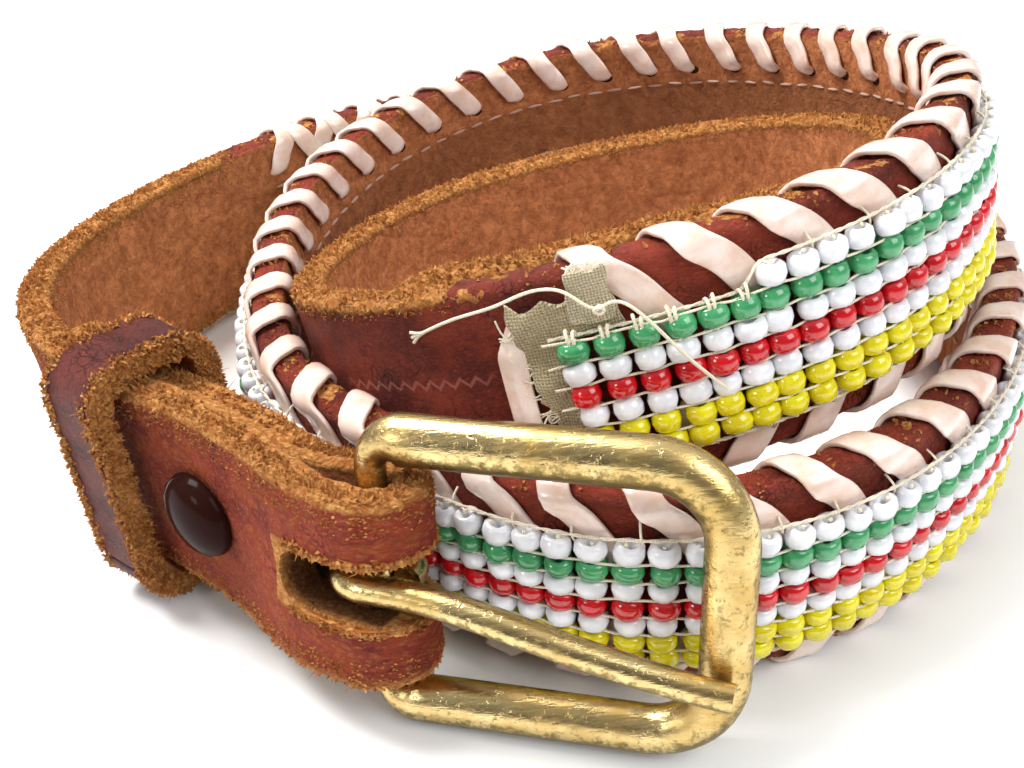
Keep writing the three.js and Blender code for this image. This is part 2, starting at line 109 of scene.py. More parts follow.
def sectionAt(length):        # the middle, the way along, the way up the width and the way out of the face
    turn = np.interp(length, walkLengths, walkTurns)
    along = unit(middleAt(turn + 0.5) - middleAt(turn - 0.5))
    upright = unit(np.array([0, 0, 1.0]) - along * along[..., 2:])
    outward = np.cross(upright, along)
    lean = np.radians(leanAt(turn))[..., None]
    up = upright * np.cos(lean) - outward * np.sin(lean)
    out = outward * np.cos(lean) + upright * np.sin(lean)
    return middleAt(turn), along, up, out


foldRadius = belt["heelBarRadius"] + belt["gap"] + belt["thick"] / 2
foldArc = math.pi * foldRadius
layerStep = belt["thick"] + belt["gap"]
heelMiddle, heelAlong, heelUp, heelOut = (part[0] for part in sectionAt(np.array([0.0])))
barMiddle = heelMiddle - heelOut * foldRadius
coilShift = np.array(heelJoint["pos_m"]) * 1000 - barMiddle


def wound(flat):        # from places on the flat belt to places in the frame, in metres
    x, y, z = (part[:, None] for part in flat.T)
    middle, along, up, out = sectionAt(np.maximum(flat[:, 0], 0))
    overshoot = np.maximum(flat[:, 0] - walkLengths[-1], 0)[:, None]
    place = middle + along * overshoot + up * y + out * z
    turn = np.clip(-x / foldArc, 0, 1) * math.pi
    foldOut = heelOut * np.cos(turn) - heelAlong * np.sin(turn)
    place = np.where(x < 0, barMiddle + foldOut * (foldRadius + z) + heelUp * y, place)
    back = -(flat[:, 0] + foldArc)
    middle, along, up, out = sectionAt(np.maximum(back, 0))
    ease = np.clip(back / belt["foldEase"], 0, 1)[:, None]
    drop = 2 * foldRadius + (layerStep - 2 * foldRadius) * ease * ease * (3 - 2 * ease)
    place = np.where(back[:, None] > 0, middle + up * y - out * (drop + z), place)
    return (place + coilShift) / 1000


def corners(piece):
    flat = np.empty(len(piece.data.vertices) * 3, np.float64)
    piece.data.vertices.foreach_get("co", flat)
    return flat.reshape(-1, 3)


def setCorners(piece, places):
    piece.data.vertices.foreach_set("co", np.ascontiguousarray(places, np.float32).ravel())
    piece.data.update()


def keepFlat(piece):        # the flat place stays with each corner, for the patterns
    if "flat" not in piece.data.attributes:
        kept = piece.data.attributes.new("flat", "FLOAT_VECTOR", "POINT")
        kept.data.foreach_set("vector", corners(piece).astype(np.float32).ravel())


def layOnCoil(piece):        # winding mirrors the flat piece, so its faces are turned round
    keepFlat(piece)
    setCorners(piece, wound(corners(piece)))
    piece.data.flip_normals()


def choose(piece):
    if bpy.context.mode != "OBJECT":
        bpy.ops.object.mode_set(mode="OBJECT")
    bpy.ops.object.select_all(action="DESELECT")
    piece.select_set(True)
    bpy.context.view_layer.objects.active = piece


def newest(name):        # the primitive that was just added, its size and place put in its mesh
    piece = bpy.context.object
    piece.name = piece.data.name = name
    choose(piece)
    bpy.ops.object.transform_apply(location=True, rotation=True, scale=True)
    return piece


def finishWith(piece, kind, **settings):
    choose(piece)
    modifier = piece.modifiers.new(kind.title(), kind)
    for name, value in settings.items():
        setattr(modifier, name, value)
    bpy.ops.object.modifier_apply(modifier=modifier.name)


def ready():
    if bpy.context.mode != "OBJECT":
        bpy.ops.object.mode_set(mode="OBJECT")
    bpy.ops.object.select_all(action="DESELECT")


def dress(piece, body, material, replaced=(), smooth=40):
    piece.data.materials.clear()
    piece.data.materials.append(material)
    choose(piece)
    bpy.ops.object.shade_smooth_by_angle(angle=math.radians(smooth))
    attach(piece, body)
    if replaced:
        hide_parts(*replaced)
    return piece


def copies(pattern, places, name):        # one mesh of copies of a pattern, each at its own matrix
    base = corners(pattern)
    counts = np.empty(len(pattern.data.polygons), np.int32)
    pattern.data.polygons.foreach_get("loop_total", counts)
    loops = np.empty(len(pattern.data.loops), np.int32)
    pattern.data.loops.foreach_get("vertex_index", loops)
    points = [base @ np.array(place.to_3x3()).T + np.array(place.translation) for place in places]
    mesh = bpy.data.meshes.new(name)
    mesh.vertices.add(len(base) * len(places))
    mesh.vertices.foreach_set("co", np.concatenate(points).astype(np.float32).ravel())
    mesh.loops.add(len(loops) * len(places))
    mesh.loops.foreach_set("vertex_index", np.concatenate([loops + i * len(base) for i in range(len(places))]))
    mesh.polygons.add(len(counts) * len(places))
    allCounts = np.tile(counts, len(places))
    mesh.polygons.foreach_set("loop_start", np.concatenate([[0], np.cumsum(allCounts)[:-1]]).astype(np.int32))
    mesh.update(calc_edges=True)
    piece = bpy.data.objects.new(name, mesh)
    bpy.context.scene.collection.objects.link(piece)
    return piece


def discard(*patterns):
    for pattern in patterns:
        bpy.data.objects.remove(pattern)


def threads(name, runs, radius, resolution=1):        # round threads through runs of flat places
    curve = bpy.data.curves.new(name, "CURVE")
    curve.dimensions = "3D"
    curve.bevel_depth = radius
    curve.bevel_resolution = resolution
    curve.use_fill_caps = True
    for run in runs:
        spline = curve.splines.new("POLY")
        spline.points.add(len(run) - 1)
        spline.points.foreach_set("co", np.column_stack([run, np.ones(len(run))]).ravel())
    piece = bpy.data.objects.new(name, curve)
    bpy.context.scene.collection.objects.link(piece)
    choose(piece)
    bpy.ops.object.convert(target="MESH")
    return bpy.context.object


def throughPoints(points, step):        # a smooth line through a few chosen points, at even steps
    points = np.array(points, float)
    chords = np.concatenate([[0], np.cumsum(np.linalg.norm(np.diff(points, axis=0), axis=1))])
    count = max(2, int(chords[-1] / step))
    at = np.linspace(0, chords[-1], count)
    return np.column_stack([smoothThrough(chords, points[:, axis])(at) for axis in range(points.shape[1])])


print("shader groups")


def tint(red, green, blue):        # a colour as it is seen on a screen
    return [((part / 255 + 0.055) / 1.055) ** 2.4 if part > 10 else part / 3300 for part in (red, green, blue)] + [1]


def add(tree, kind, inputs=(), **settings):
    node = tree.nodes.new("ShaderNode" + kind)
    for name, value in settings.items():
        setattr(node, name, value)
    for name, value in dict(inputs).items():
        socket = node.inputs[name]
        if isinstance(value, bpy.types.NodeSocket):
            tree.links.new(value, socket)
        else:
            socket.default_value = value
    return node


def mixed(tree, factor, first, second, blend="MIX"):
    node = tree.nodes.new("ShaderNodeMix")
    node.data_type = "RGBA"
    node.blend_type = blend
    for index, value in ((0, factor), (6, first), (7, second)):
        if isinstance(value, bpy.types.NodeSocket):
            tree.links.new(value, node.inputs[index])
        else:
            node.inputs[index].default_value = value
    return node.outputs[2]


def ranged(tree, value, low, high, toLow=0, toHigh=1):
    inputs = {"Value": value, "From Min": low, "From Max": high, "To Min": toLow, "To Max": toHigh}
    return add(tree, "MapRange", inputs).outputs[0]


def math2(tree, operation, first, second=0.5):
    return add(tree, "Math", {0: first, 1: second}, operation=operation).outputs[0]


def stretched(tree, place, scale):        # the pattern's place, drawn out along the axes
    return add(tree, "VectorMath", {0: place, 1: scale}, operation="MULTIPLY").outputs[0]


def speckle(tree, place, scale, detail=4, rough=0.55, warp=0):
    inputs = {"Vector": place, "Scale": scale, "Detail": detail, "Roughness": rough, "Distortion": warp}
    return add(tree, "TexNoise", inputs).outputs["Fac"]


def newGroup(name, inputs, outputs):
    group = bpy.data.node_groups.new(name, "ShaderNodeTree")
    for socket, kind, value in inputs:
        made = group.interface.new_socket(socket, in_out="INPUT", socket_type=kind)
        if value is not None:
            made.default_value = value
    for socket in outputs:
        group.interface.new_socket(socket, in_out="OUTPUT", socket_type="NodeSocketFloat")
    return group, group.nodes.new("NodeGroupInput").outputs, group.nodes.new("NodeGroupOutput")


def napGroup():        # cut or flesh-side leather: short loose fibres that lie in crumbs and tufts
    inputs = [("Place", "NodeSocketVector", None), ("Scale", "NodeSocketFloat", 1)]
    group, given, result = newGroup("leatherNap", inputs, ["Height", "Tone", "Soft"])
    place = add(group, "VectorMath", {0: given["Place"], "Scale": given["Scale"]}, operation="SCALE").outputs[0]
    drift = add(group, "TexNoise", {"Vector": place, "Scale": 1.4, "Detail": 3}).outputs["Color"]
    shaken = add(group, "VectorMath", {0: drift, 1: (0.9, 0.9, 0.9), 2: place}, operation="MULTIPLY_ADD").outputs[0]
    crumbs = add(group, "TexVoronoi", {"Vector": shaken, "Scale": 1.55}, feature="F1").outputs["Distance"]
    crumbs = ranged(group, crumbs, 0.0, 0.75, 1, 0)
    fibres = speckle(group, stretched(group, place, (1.6, 3.0, 2.0)), 1.5, 6, 0.72, 1.2)
    tufts = speckle(group, place, 0.4, 5, 0.62, 0.8)
    rough = math2(group, "ADD", math2(group, "MULTIPLY", crumbs, 0.5), math2(group, "MULTIPLY", fibres, 0.75))
    height = math2(group, "ADD", rough, math2(group, "MULTIPLY", tufts, 0.8))
    group.links.new(height, result.inputs["Height"])
    tone = math2(group, "ADD", math2(group, "MULTIPLY", rough, 0.75), math2(group, "MULTIPLY", tufts, 0.3))
    group.links.new(ranged(group, tone, 0.4, 0.8), result.inputs["Tone"])
    soft = math2(group, "ADD", math2(group, "MULTIPLY", tufts, 0.7), math2(group, "MULTIPLY", fibres, 0.35))
    group.links.new(ranged(group, soft, 0.38, 0.66), result.inputs["Soft"])
    return group


def grainGroup():        # grain side: pores, fine creases and rubbed patches
    inputs = [("Place", "NodeSocketVector", None), ("Scuffs", "NodeSocketFloat", 0.5)]
    group, given, result = newGroup("leatherGrain", inputs, ["Height", "Crease", "Scuff", "Tone", "GlintMask"])
    drift = add(group, "TexNoise", {"Vector": given["Place"], "Scale": 0.5, "Detail": 4}).outputs["Color"]
    bent = add(group, "VectorMath", {0: drift, 1: (1.6, 1.6, 1.6), 2: given["Place"]},
               operation="MULTIPLY_ADD").outputs[0]
    cells = add(group, "TexVoronoi", {"Vector": stretched(group, bent, (1.3, 0.7, 1)), "Scale": 0.8},
                feature="DISTANCE_TO_EDGE").outputs["Distance"]
    creased = ranged(group, speckle(group, given["Place"], 0.16, 3), 0.5, 0.66)
    crease = math2(group, "MULTIPLY", ranged(group, cells, 0.0, 0.12, 1, 0), creased)
    rubbed = speckle(group, stretched(group, given["Place"], (0.7, 1, 1)), 0.36, 9, 0.74, 0.6)
    edge = math2(group, "SUBTRACT", 0.76, math2(group, "MULTIPLY", given["Scuffs"], 0.3))
    group.links.new(ranged(group, math2(group, "SUBTRACT", rubbed, edge), -0.02, 0.07), result.inputs["Scuff"])
    group.links.new(crease, result.inputs["Crease"])
    fibrous = speckle(group, stretched(group, given["Place"], (1.2, 2.2, 1.6)), 1.7, 5, 0.7, 0.8)
    ripple = math2(group, "MULTIPLY", speckle(group, given["Place"], 0.7, 4, 0.6), 0.8)
    height = math2(group, "SUBTRACT", math2(group, "ADD", fibrous, ripple), math2(group, "MULTIPLY", crease, 0.6))
    group.links.new(height, result.inputs["Height"])
    # painted glints: the brightest specks of the fibre pattern, where pinkish highlight specks are painted
    group.links.new(ranged(group, fibrous, 0.56, 0.72), result.inputs["GlintMask"])
    broad = speckle(group, given["Place"], 0.14, 6, 0.62)
    tone = math2(group, "ADD", math2(group, "MULTIPLY", broad, 0.6), math2(group, "MULTIPLY", fibrous, 0.4))
    group.links.new(ranged(group, tone, 0.4, 0.6), result.inputs["Tone"])
    return group


def weaveGroup():        # plain weave: one set of yarns over and under the other
    inputs = [("Place", "NodeSocketVector", None), ("Yarn", "NodeSocketFloat", 1)]
    group, given, result = newGroup("weave", inputs, ["Height", "Gap"])
    wobble = add(group, "TexNoise", {"Vector": given["Place"], "Scale": 0.8, "Detail": 2}).outputs["Color"]
    shake = add(group, "VectorMath", {0: wobble, "Scale": 0.35}, operation="SCALE").outputs[0]
    place = add(group, "VectorMath", {0: given["Place"], 1: shake}, operation="ADD").outputs[0]
    split = add(group, "SeparateXYZ", {0: place}).outputs
    waves = []
    for axis in ("X", "Y"):
        turned = math2(group, "DIVIDE", math2(group, "MULTIPLY", split[axis], math.pi), given["Yarn"])
        waves.append(turned)
    across = math2(group, "ABSOLUTE", math2(group, "SINE", waves[0]))
    upward = math2(group, "ABSOLUTE", math2(group, "SINE", waves[1]))
    checks = math2(group, "MULTIPLY", math2(group, "COSINE", waves[0]), math2(group, "COSINE", waves[1]))
    over = ranged(group, checks, -0.2, 0.2)
    height = mixed(group, over, across, upward)
    group.links.new(height, result.inputs["Height"])
    group.links.new(math2(group, "MAXIMUM", across, upward), result.inputs["Gap"])
    return group


def wearGroup():        # fine scratches one way, dull smudges and small pits
    inputs = [("Place", "NodeSocketVector", None)]
    group, given, result = newGroup("metalWear", inputs, ["Scratches", "Smudge", "Pits"])
    lines = speckle(group, stretched(group, given["Place"], (260, 3200, 2600)), 1, 3, 0.6)
    group.links.new(ranged(group, lines, 0.35, 0.7), result.inputs["Scratches"])
    group.links.new(ranged(group, speckle(group, given["Place"], 170, 5, 0.6), 0.38, 0.66), result.inputs["Smudge"])
    group.links.new(ranged(group, speckle(group, given["Place"], 1500, 3, 0.6), 0.6, 0.72), result.inputs["Pits"])
    return group


nap = napGroup()
grain = grainGroup()
weave = weaveGroup()
wear = wearGroup()


def newMaterial(name, **values):
    material = bpy.data.materials.new(name)
    material.use_nodes = True
    shader = material.node_tree.nodes["Principled BSDF"]
    for socket, value in values.items():
        shader.inputs[socket.replace("_", " ")].default_value = value
    return material, material.node_tree, shader.inputs


def placed(tree, group, inputs):
    node = tree.nodes.new("ShaderNodeGroup")
    node.node_tree = group
    for name, value in inputs.items():
        if isinstance(value, bpy.types.NodeSocket):
            tree.links.new(value, node.inputs[name])
        else:
            node.inputs[name].default_value = value
    return node.outputs


def flatPlace(tree):
    return add(tree, "Attribute", attribute_name="flat").outputs["Vector"]


def bumped(tree, shader, height, strength, distance):
    bump = add(tree, "Bump", {"Height": height, "Strength": strength, "Distance": distance})
    tree.links.new(bump.outputs[0], shader["Normal"])


print("materials")
# the pinkish colour for specks is a painted glint, and the near-black one also serves as painted shade in the slot
leatherLook = {
    "red": tint(156, 62, 42), "dark": tint(92, 33, 24), "rubbed": tint(206, 118, 66), "crease": tint(52, 18, 13),
    "paintedGlint": tint(190, 104, 84), "nap": tint(255, 190, 112), "napDark": tint(194, 114, 54), "flesh": tint(214, 138, 88),
    "fleshDark": tint(158, 92, 54), "frontRed": tint(178, 72, 46), "frontDark": tint(112, 38, 27),
}


def leatherMaterial(look, name, scuffs, edgeAt, insideAt, laced=None):
    material, tree, shader = newMaterial(name, Specular_IOR_Level=0.2)
    place = flatPlace(tree)
    split = add(tree, "SeparateXYZ", {0: place}).outputs
    across = math2(tree, "ABSOLUTE", split["Y"])
    ragged = math2(tree, "MULTIPLY_ADD", speckle(tree, place, 1.1, 6, 0.72), 2.2)
    ragged.node.inputs[2].default_value = -1.1
    reach = math2(tree, "ADD", across, ragged)
    dark, red = look["dark"], look["red"]
    if laced:        # under the lacing the edge is worn smooth, and the buckle's end is redder and rougher
        within = math2(tree, "MULTIPLY", ranged(tree, split["X"], laced[0], laced[0] + 6),
                       ranged(tree, split["X"], laced[1], laced[1] - 6))
        patches = ranged(tree, speckle(tree, place, 0.22, 4, 0.65), 0.52, 0.6, 1, 0)
        held = math2(tree, "MULTIPLY", within, patches)
        reach = math2(tree, "SUBTRACT", reach, math2(tree, "MULTIPLY", held, 4))
        slotWall = math2(tree, "MULTIPLY", ranged(tree, across, 4.9, 4.4), ranged(tree, split["X"], 10.5, 9.0))
        reach = math2(tree, "ADD", reach, math2(tree, "MULTIPLY", slotWall, 12))
        front = ranged(tree, split["X"], laced[0] + 4, laced[0] - 30)
        scuffs = ranged(tree, front, 0, 1, scuffs, scuffs + 0.5)
        dark = mixed(tree, front, dark, look["frontDark"])
        red = mixed(tree, front, red, look["frontRed"])
    grained = placed(tree, grain, {"Place": place, "Scuffs": scuffs})
    napped = placed(tree, nap, {"Place": place, "Scale": 1.0})
    edge = ranged(tree, reach, edgeAt, edgeAt + 0.5)
    inside = ranged(tree, math2(tree, "ADD", split["Z"], math2(tree, "MULTIPLY", ragged, 0.25)), insideAt, insideAt - 0.35)
    face = mixed(tree, grained["Tone"], dark, red)
    # painted glints: pinkish specks on the grain stand in for highlights on the fibres, with more of them on the
    # buckle's end
    paintedGlint = math2(tree, "MULTIPLY", grained["GlintMask"], 0.35)
    if laced:
        paintedGlint = math2(tree, "MAXIMUM", paintedGlint, math2(tree, "MULTIPLY", ranged(tree, napped["Tone"], 0.55, 0.8, 0, 0.5), front))
    face = mixed(tree, paintedGlint, face, look["paintedGlint"])
    face = mixed(tree, math2(tree, "MULTIPLY", grained["Crease"], 0.75), face, look["crease"])
    rubbed = mixed(tree, napped["Tone"], red, look["rubbed"])
    face = mixed(tree, math2(tree, "MULTIPLY", grained["Scuff"], 0.85), face, rubbed)
    flesh = mixed(tree, napped["Soft"], look["fleshDark"], look["flesh"])
    colour = mixed(tree, inside, face, flesh)
    colour = mixed(tree, edge, colour, mixed(tree, napped["Tone"], look["napDark"], look["nap"]))
    if laced:
        # painted shade: the slot's walls are coloured near-black deeper into the slot
        deep = math2(tree, "MULTIPLY", slotWall, ranged(tree, split["Z"], 1.9, 0.6, 0, 0.75))
        colour = mixed(tree, deep, colour, look["crease"])
    tree.links.new(colour, shader["Base Color"])
    raw = math2(tree, "MAXIMUM", edge, inside)
    bare = math2(tree, "MAXIMUM", raw, grained["Scuff"])
    if laced:
        bare = math2(tree, "MAXIMUM", bare, math2(tree, "MULTIPLY", front, 0.6))
    tree.links.new(ranged(tree, bare, 0, 1, 0.5, 0.95), shader["Roughness"])
    softer = mixed(tree, inside, math2(tree, "MULTIPLY", napped["Height"], 2.2), math2(tree, "MULTIPLY", napped["Height"], 0.7))
    cut = mixed(tree, edge, softer, math2(tree, "MULTIPLY", napped["Height"], 2.4))
    bumped(tree, shader, mixed(tree, bare, grained["Height"], cut), 1.0, 0.0005)
    return tree, shader, split, colour, inside, material


def strapMaterial():
    tree, shader, split, colour, inside, material = leatherMaterial(leatherLook, "strapLeather", 0.42, 11.3, -1.75, (118, 702))
    # a dark band runs between the two stitch lines on the flesh side
    band = ranged(tree, math2(tree, "ABSOLUTE", math2(tree, "SUBTRACT", split["Y"], 0.2)), 5.2, 4.0)
    span = math2(tree, "MULTIPLY", ranged(tree, split["X"], 120, 130), ranged(tree, split["X"], 702, 692, 0, 0.45))
    band = math2(tree, "MULTIPLY", math2(tree, "MULTIPLY", band, inside), span)
    colour = mixed(tree, band, colour, tint(100, 54, 32))
    # a short tooled zigzag on the face past the beads
    zigzag = math2(tree, "SUBTRACT", split["Y"], math2(tree, "PINGPONG", split["X"], 0.95))
    line = ranged(tree, math2(tree, "ABSOLUTE", math2(tree, "SUBTRACT", zigzag, 2.2)), 0.34, 0.14, 0, 0.5)
    tooled = math2(tree, "MULTIPLY", ranged(tree, split["X"], 697, 700), ranged(tree, split["X"], 722, 718))
    tooled = math2(tree, "MULTIPLY", math2(tree, "MULTIPLY", line, tooled), ranged(tree, split["Z"], 0.5, 1.2))
    tree.links.new(mixed(tree, tooled, colour, tint(206, 126, 112)), shader["Base Color"])
    return material


def keeperMaterial():
    # the keeper's pinkish specks are painted glints too
    look = dict(leatherLook, red=tint(122, 58, 50), dark=tint(68, 32, 30), rubbed=tint(176, 104, 74), paintedGlint=tint(160, 100, 88))
    return leatherMaterial(look, "keeperLeather", 0.38, 3.9, -0.9)[-1]


def beadMaterial(name, colour, deep):
    material, tree, shader = newMaterial(name, Roughness=0.13, Specular_IOR_Level=0.6, Coat_Weight=0.35,
                                         Coat_Roughness=0.06)
    place = flatPlace(tree)
    cloud = ranged(tree, speckle(tree, place, 0.55, 3, 0.6), 0.35, 0.65)
    tree.links.new(mixed(tree, cloud, deep, colour), shader["Base Color"])
    bumped(tree, shader, speckle(tree, place, 1.6, 2), 0.06, 0.0002)
    return material


def laceMaterial():
    material, tree, shader = newMaterial("laceVinyl", Specular_IOR_Level=0.5, Coat_Weight=0.4, Coat_Roughness=0.08)
    place = flatPlace(tree)
    cloud = speckle(tree, place, 0.3, 4, 0.6)
    dirt = ranged(tree, speckle(tree, place, 0.6, 7, 0.72), 0.53, 0.72)
    clean = mixed(tree, ranged(tree, cloud, 0.38, 0.62), tint(222, 190, 172), tint(238, 220, 210))
    tree.links.new(mixed(tree, math2(tree, "MULTIPLY", dirt, 0.5), clean, tint(188, 150, 128)), shader["Base Color"])
    tree.links.new(ranged(tree, dirt, 0, 1, 0.2, 0.45), shader["Roughness"])
    bumped(tree, shader, speckle(tree, stretched(tree, place, (2.2, 0.5, 0.5)), 0.9, 4, 0.6), 0.12, 0.0002)
    return material


def threadMaterial(name, light, dark, twist=2.4):
    material, tree, shader = newMaterial(name, Roughness=0.85, Sheen_Weight=0.3)
    place = flatPlace(tree)
    ply = add(tree, "TexWave", {"Vector": place, "Scale": twist, "Distortion": 1.5, "Detail": 2},
              bands_direction="DIAGONAL").outputs["Fac"]
    fuzz = speckle(tree, place, 5, 3)
    colour = mixed(tree, math2(tree, "MULTIPLY", ply, 0.7), light, dark)
    tree.links.new(mixed(tree, math2(tree, "MULTIPLY", fuzz, 0.25), colour, dark), shader["Base Color"])
    bumped(tree, shader, ply, 0.5, 0.0001)
    return material


def clothMaterial(name, light, dark, yarn):
    material, tree, shader = newMaterial(name, Roughness=0.93, Sheen_Weight=0.25)
    place = flatPlace(tree)
    woven = placed(tree, weave, {"Place": place, "Yarn": yarn})
    stain = ranged(tree, speckle(tree, place, 0.5, 4, 0.6), 0.4, 0.7)
    colour = mixed(tree, ranged(tree, woven["Gap"], 0.45, 0.9), dark, light)
    colour = mixed(tree, math2(tree, "MULTIPLY", stain, 0.4), colour, dark)
    tree.links.new(colour, shader["Base Color"])
    bumped(tree, shader, woven["Height"], 0.9, 0.00035)
    return material


def brassMaterial():
    material, tree, shader = newMaterial("brass", Metallic=1.0)
    place = add(tree, "TexCoord").outputs["Object"]
    worn = placed(tree, wear, {"Place": place})
    colour = mixed(tree, worn["Smudge"], tint(218, 194, 138), tint(192, 162, 100))
    colour = mixed(tree, math2(tree, "MULTIPLY", worn["Pits"], 0.6), colour, tint(112, 88, 46))
    # painted reflection: the lower sides are painted darker and olive and made a little rougher, standing in for a dark
    # surface reflected from below, left bright in small spots
    facing = add(tree, "SeparateXYZ", {0: add(tree, "TexCoord").outputs["Normal"]}).outputs["Z"]
    underReflectionMask = math2(tree, "ADD", facing, ranged(tree, speckle(tree, place, 900, 5, 0.7), 0.35, 0.65, -0.35, 0.35))
    paintedUnderReflection = ranged(tree, underReflectionMask, 0.1, -0.25, 0, 0.85)
    colour = mixed(tree, paintedUnderReflection, colour, tint(112, 98, 58))
    tree.links.new(colour, shader["Base Color"])
    rough = math2(tree, "ADD", ranged(tree, worn["Smudge"], 0, 1, 0.15, 0.3), math2(tree, "MULTIPLY", worn["Scratches"], 0.12))
    tree.links.new(math2(tree, "ADD", rough, math2(tree, "MULTIPLY", paintedUnderReflection, 0.1)), shader["Roughness"])
    height = math2(tree, "SUBTRACT", math2(tree, "MULTIPLY", worn["Scratches"], 0.5), worn["Pits"])
    bumped(tree, shader, height, 0.3, 0.00015)
    return material


def snapMaterial():
    material, tree, shader = newMaterial("snapLacquer", Specular_IOR_Level=0.02, Coat_Weight=0.04, Coat_Roughness=0.03)
    place = add(tree, "TexCoord").outputs["Object"]
    dust = ranged(tree, speckle(tree, place, 2600, 4, 0.7), 0.64, 0.75)
    lacquered = mixed(tree, math2(tree, "MULTIPLY", dust, 0.2), tint(38, 17, 13), tint(96, 70, 58))
    tree.links.new(lacquered, shader["Base Color"])
    tree.links.new(ranged(tree, speckle(tree, place, 300, 4), 0.35, 0.7, 0.1, 0.24), shader["Roughness"])
    bumped(tree, shader, dust, 0.15, 0.00004)
    return material


# flat dark leather for the discs that paint shade into the lace holes
def holeShadeMaterial():
    material, tree, shader = newMaterial("holeShade", Roughness=0.95, Specular_IOR_Level=0.05)
    place = flatPlace(tree)
    tree.links.new(mixed(tree, speckle(tree, place, 2.5, 4), tint(34, 16, 10), tint(74, 38, 22)), shader["Base Color"])
    bumped(tree, shader, speckle(tree, place, 3, 4), 0.5, 0.0002)
    return material


strapLeather = strapMaterial()
holeShade = holeShadeMaterial()
keeperLeather = keeperMaterial()
whiteGlass = beadMaterial("whiteGlass", tint(240, 240, 243), tint(220, 222, 228))
greenGlass = beadMaterial("greenGlass", tint(74, 164, 106), tint(52, 138, 84))
redGlass = beadMaterial("redGlass", tint(214, 20, 30), tint(180, 12, 22))
yellowGlass = beadMaterial("yellowGlass", tint(232, 222, 22), tint(214, 196, 12))
laceVinyl = laceMaterial()
creamThread = threadMaterial("creamThread", tint(246, 238, 218), tint(214, 200, 168))
stitchThread = threadMaterial("stitchThread", tint(214, 176, 154), tint(150, 104, 82))
canvasCloth = clothMaterial("canvasCloth", tint(206, 190, 150), tint(168, 148, 108), 0.34)
tapeCloth = clothMaterial("tapeCloth", tint(222, 208, 174), tint(184, 164, 122), 0.3)
brass = brassMaterial()
lacquer = snapMaterial()

print("strap")
strapShape = {"step": 1.0, "across": 20, "edgeRound": 1.25, "edgeSteps": 4, "slotWidth": 7, "slotReach": 8.5,
              "snapAt": 24, "snapHole": 1.9, "holeRadius": 1.7, "holeFirst": 24, "holePitch": 16, "holes": 4,
              "roughEdge": 0.3, "roughFace": 0.1, "toolAt": (892, 940)}


def widthShare(x):        # narrower at the fold and rounded to the tip
    half = np.full_like(x, belt["width"])
    trim = belt["endWidth"] + (belt["width"] - belt["endWidth"]) * x / belt["trimLength"]
    half = np.where(x < belt["trimLength"], np.maximum(trim, belt["endWidth"]), half)
    intoTip = np.clip((x - belt["length"] + belt["tipTaper"]) / belt["tipTaper"], 0, 1)
    return (half - (belt["width"] - belt["tipWidth"]) * intoTip ** 2.2) / belt["width"]


def cutHole(piece, cutter):
    finishWith(piece, "BOOLEAN", operation="DIFFERENCE", solver="EXACT", object=cutter)
    discard(cutter)


def makeStrap():
    shape = strapShape
    start = -foldArc - belt["flap"]
    total = belt["length"] - start
    ready()
    bpy.ops.mesh.primitive_grid_add(x_subdivisions=int(total / shape["step"]), y_subdivisions=shape["across"],
                                    size=1, location=(start + total / 2, 0, -belt["thick"] / 2))
    bpy.context.object.scale = (total, belt["width"], 1)
    strap = newest("strapLeather")
    bpy.ops.object.mode_set(mode="EDIT")
    bpy.ops.mesh.select_all(action="SELECT")
    bpy.ops.mesh.extrude_region_move(TRANSFORM_OT_translate={"value": (0, 0, belt["thick"])})
    bpy.ops.mesh.select_all(action="SELECT")
    bpy.ops.mesh.normals_make_consistent(inside=False)
    bpy.ops.object.mode_set(mode="OBJECT")
    finishWith(strap, "BEVEL", width=shape["edgeRound"], segments=shape["edgeSteps"], limit_method="ANGLE")
    flat = corners(strap)
    flat[:, 1] *= widthShare(flat[:, 0])
    setCorners(strap, flat)
    ready()
    slotLength = foldArc + 2 * shape["slotReach"]
    bpy.ops.mesh.primitive_cube_add(size=1, location=(-foldArc / 2, 0, 0))
    bpy.context.object.scale = (slotLength, shape["slotWidth"], 3 * belt["thick"])
    slot = newest("slotCutter")
    finishWith(slot, "BEVEL", width=3.3, segments=5, limit_method="ANGLE")
    cutHole(strap, slot)
    seats = [(shape["snapAt"], shape["snapHole"]), (-foldArc - shape["snapAt"], shape["snapHole"])]
    seats += [(belt["length"] - shape["holeFirst"] - i * shape["holePitch"], shape["holeRadius"])
              for i in range(shape["holes"])]
    for x, radius in seats:
        ready()
        bpy.ops.mesh.primitive_cylinder_add(vertices=24, radius=radius, depth=3 * belt["thick"], location=(x, 0, 0))
        cutHole(strap, newest("holeCutter"))
    keepFlat(strap)
    flat = corners(strap)
    flat[:, 1] /= widthShare(flat[:, 0])
    strap.data.attributes["flat"].data.foreach_set("vector", flat.astype(np.float32).ravel())
    roughen(strap, shape["roughEdge"], shape["roughFace"], belt["width"] / 2, belt["thick"] / 2)
    layOnCoil(strap)
    return dress(strap, "belt", strapLeather, ["strap"], smooth=60)


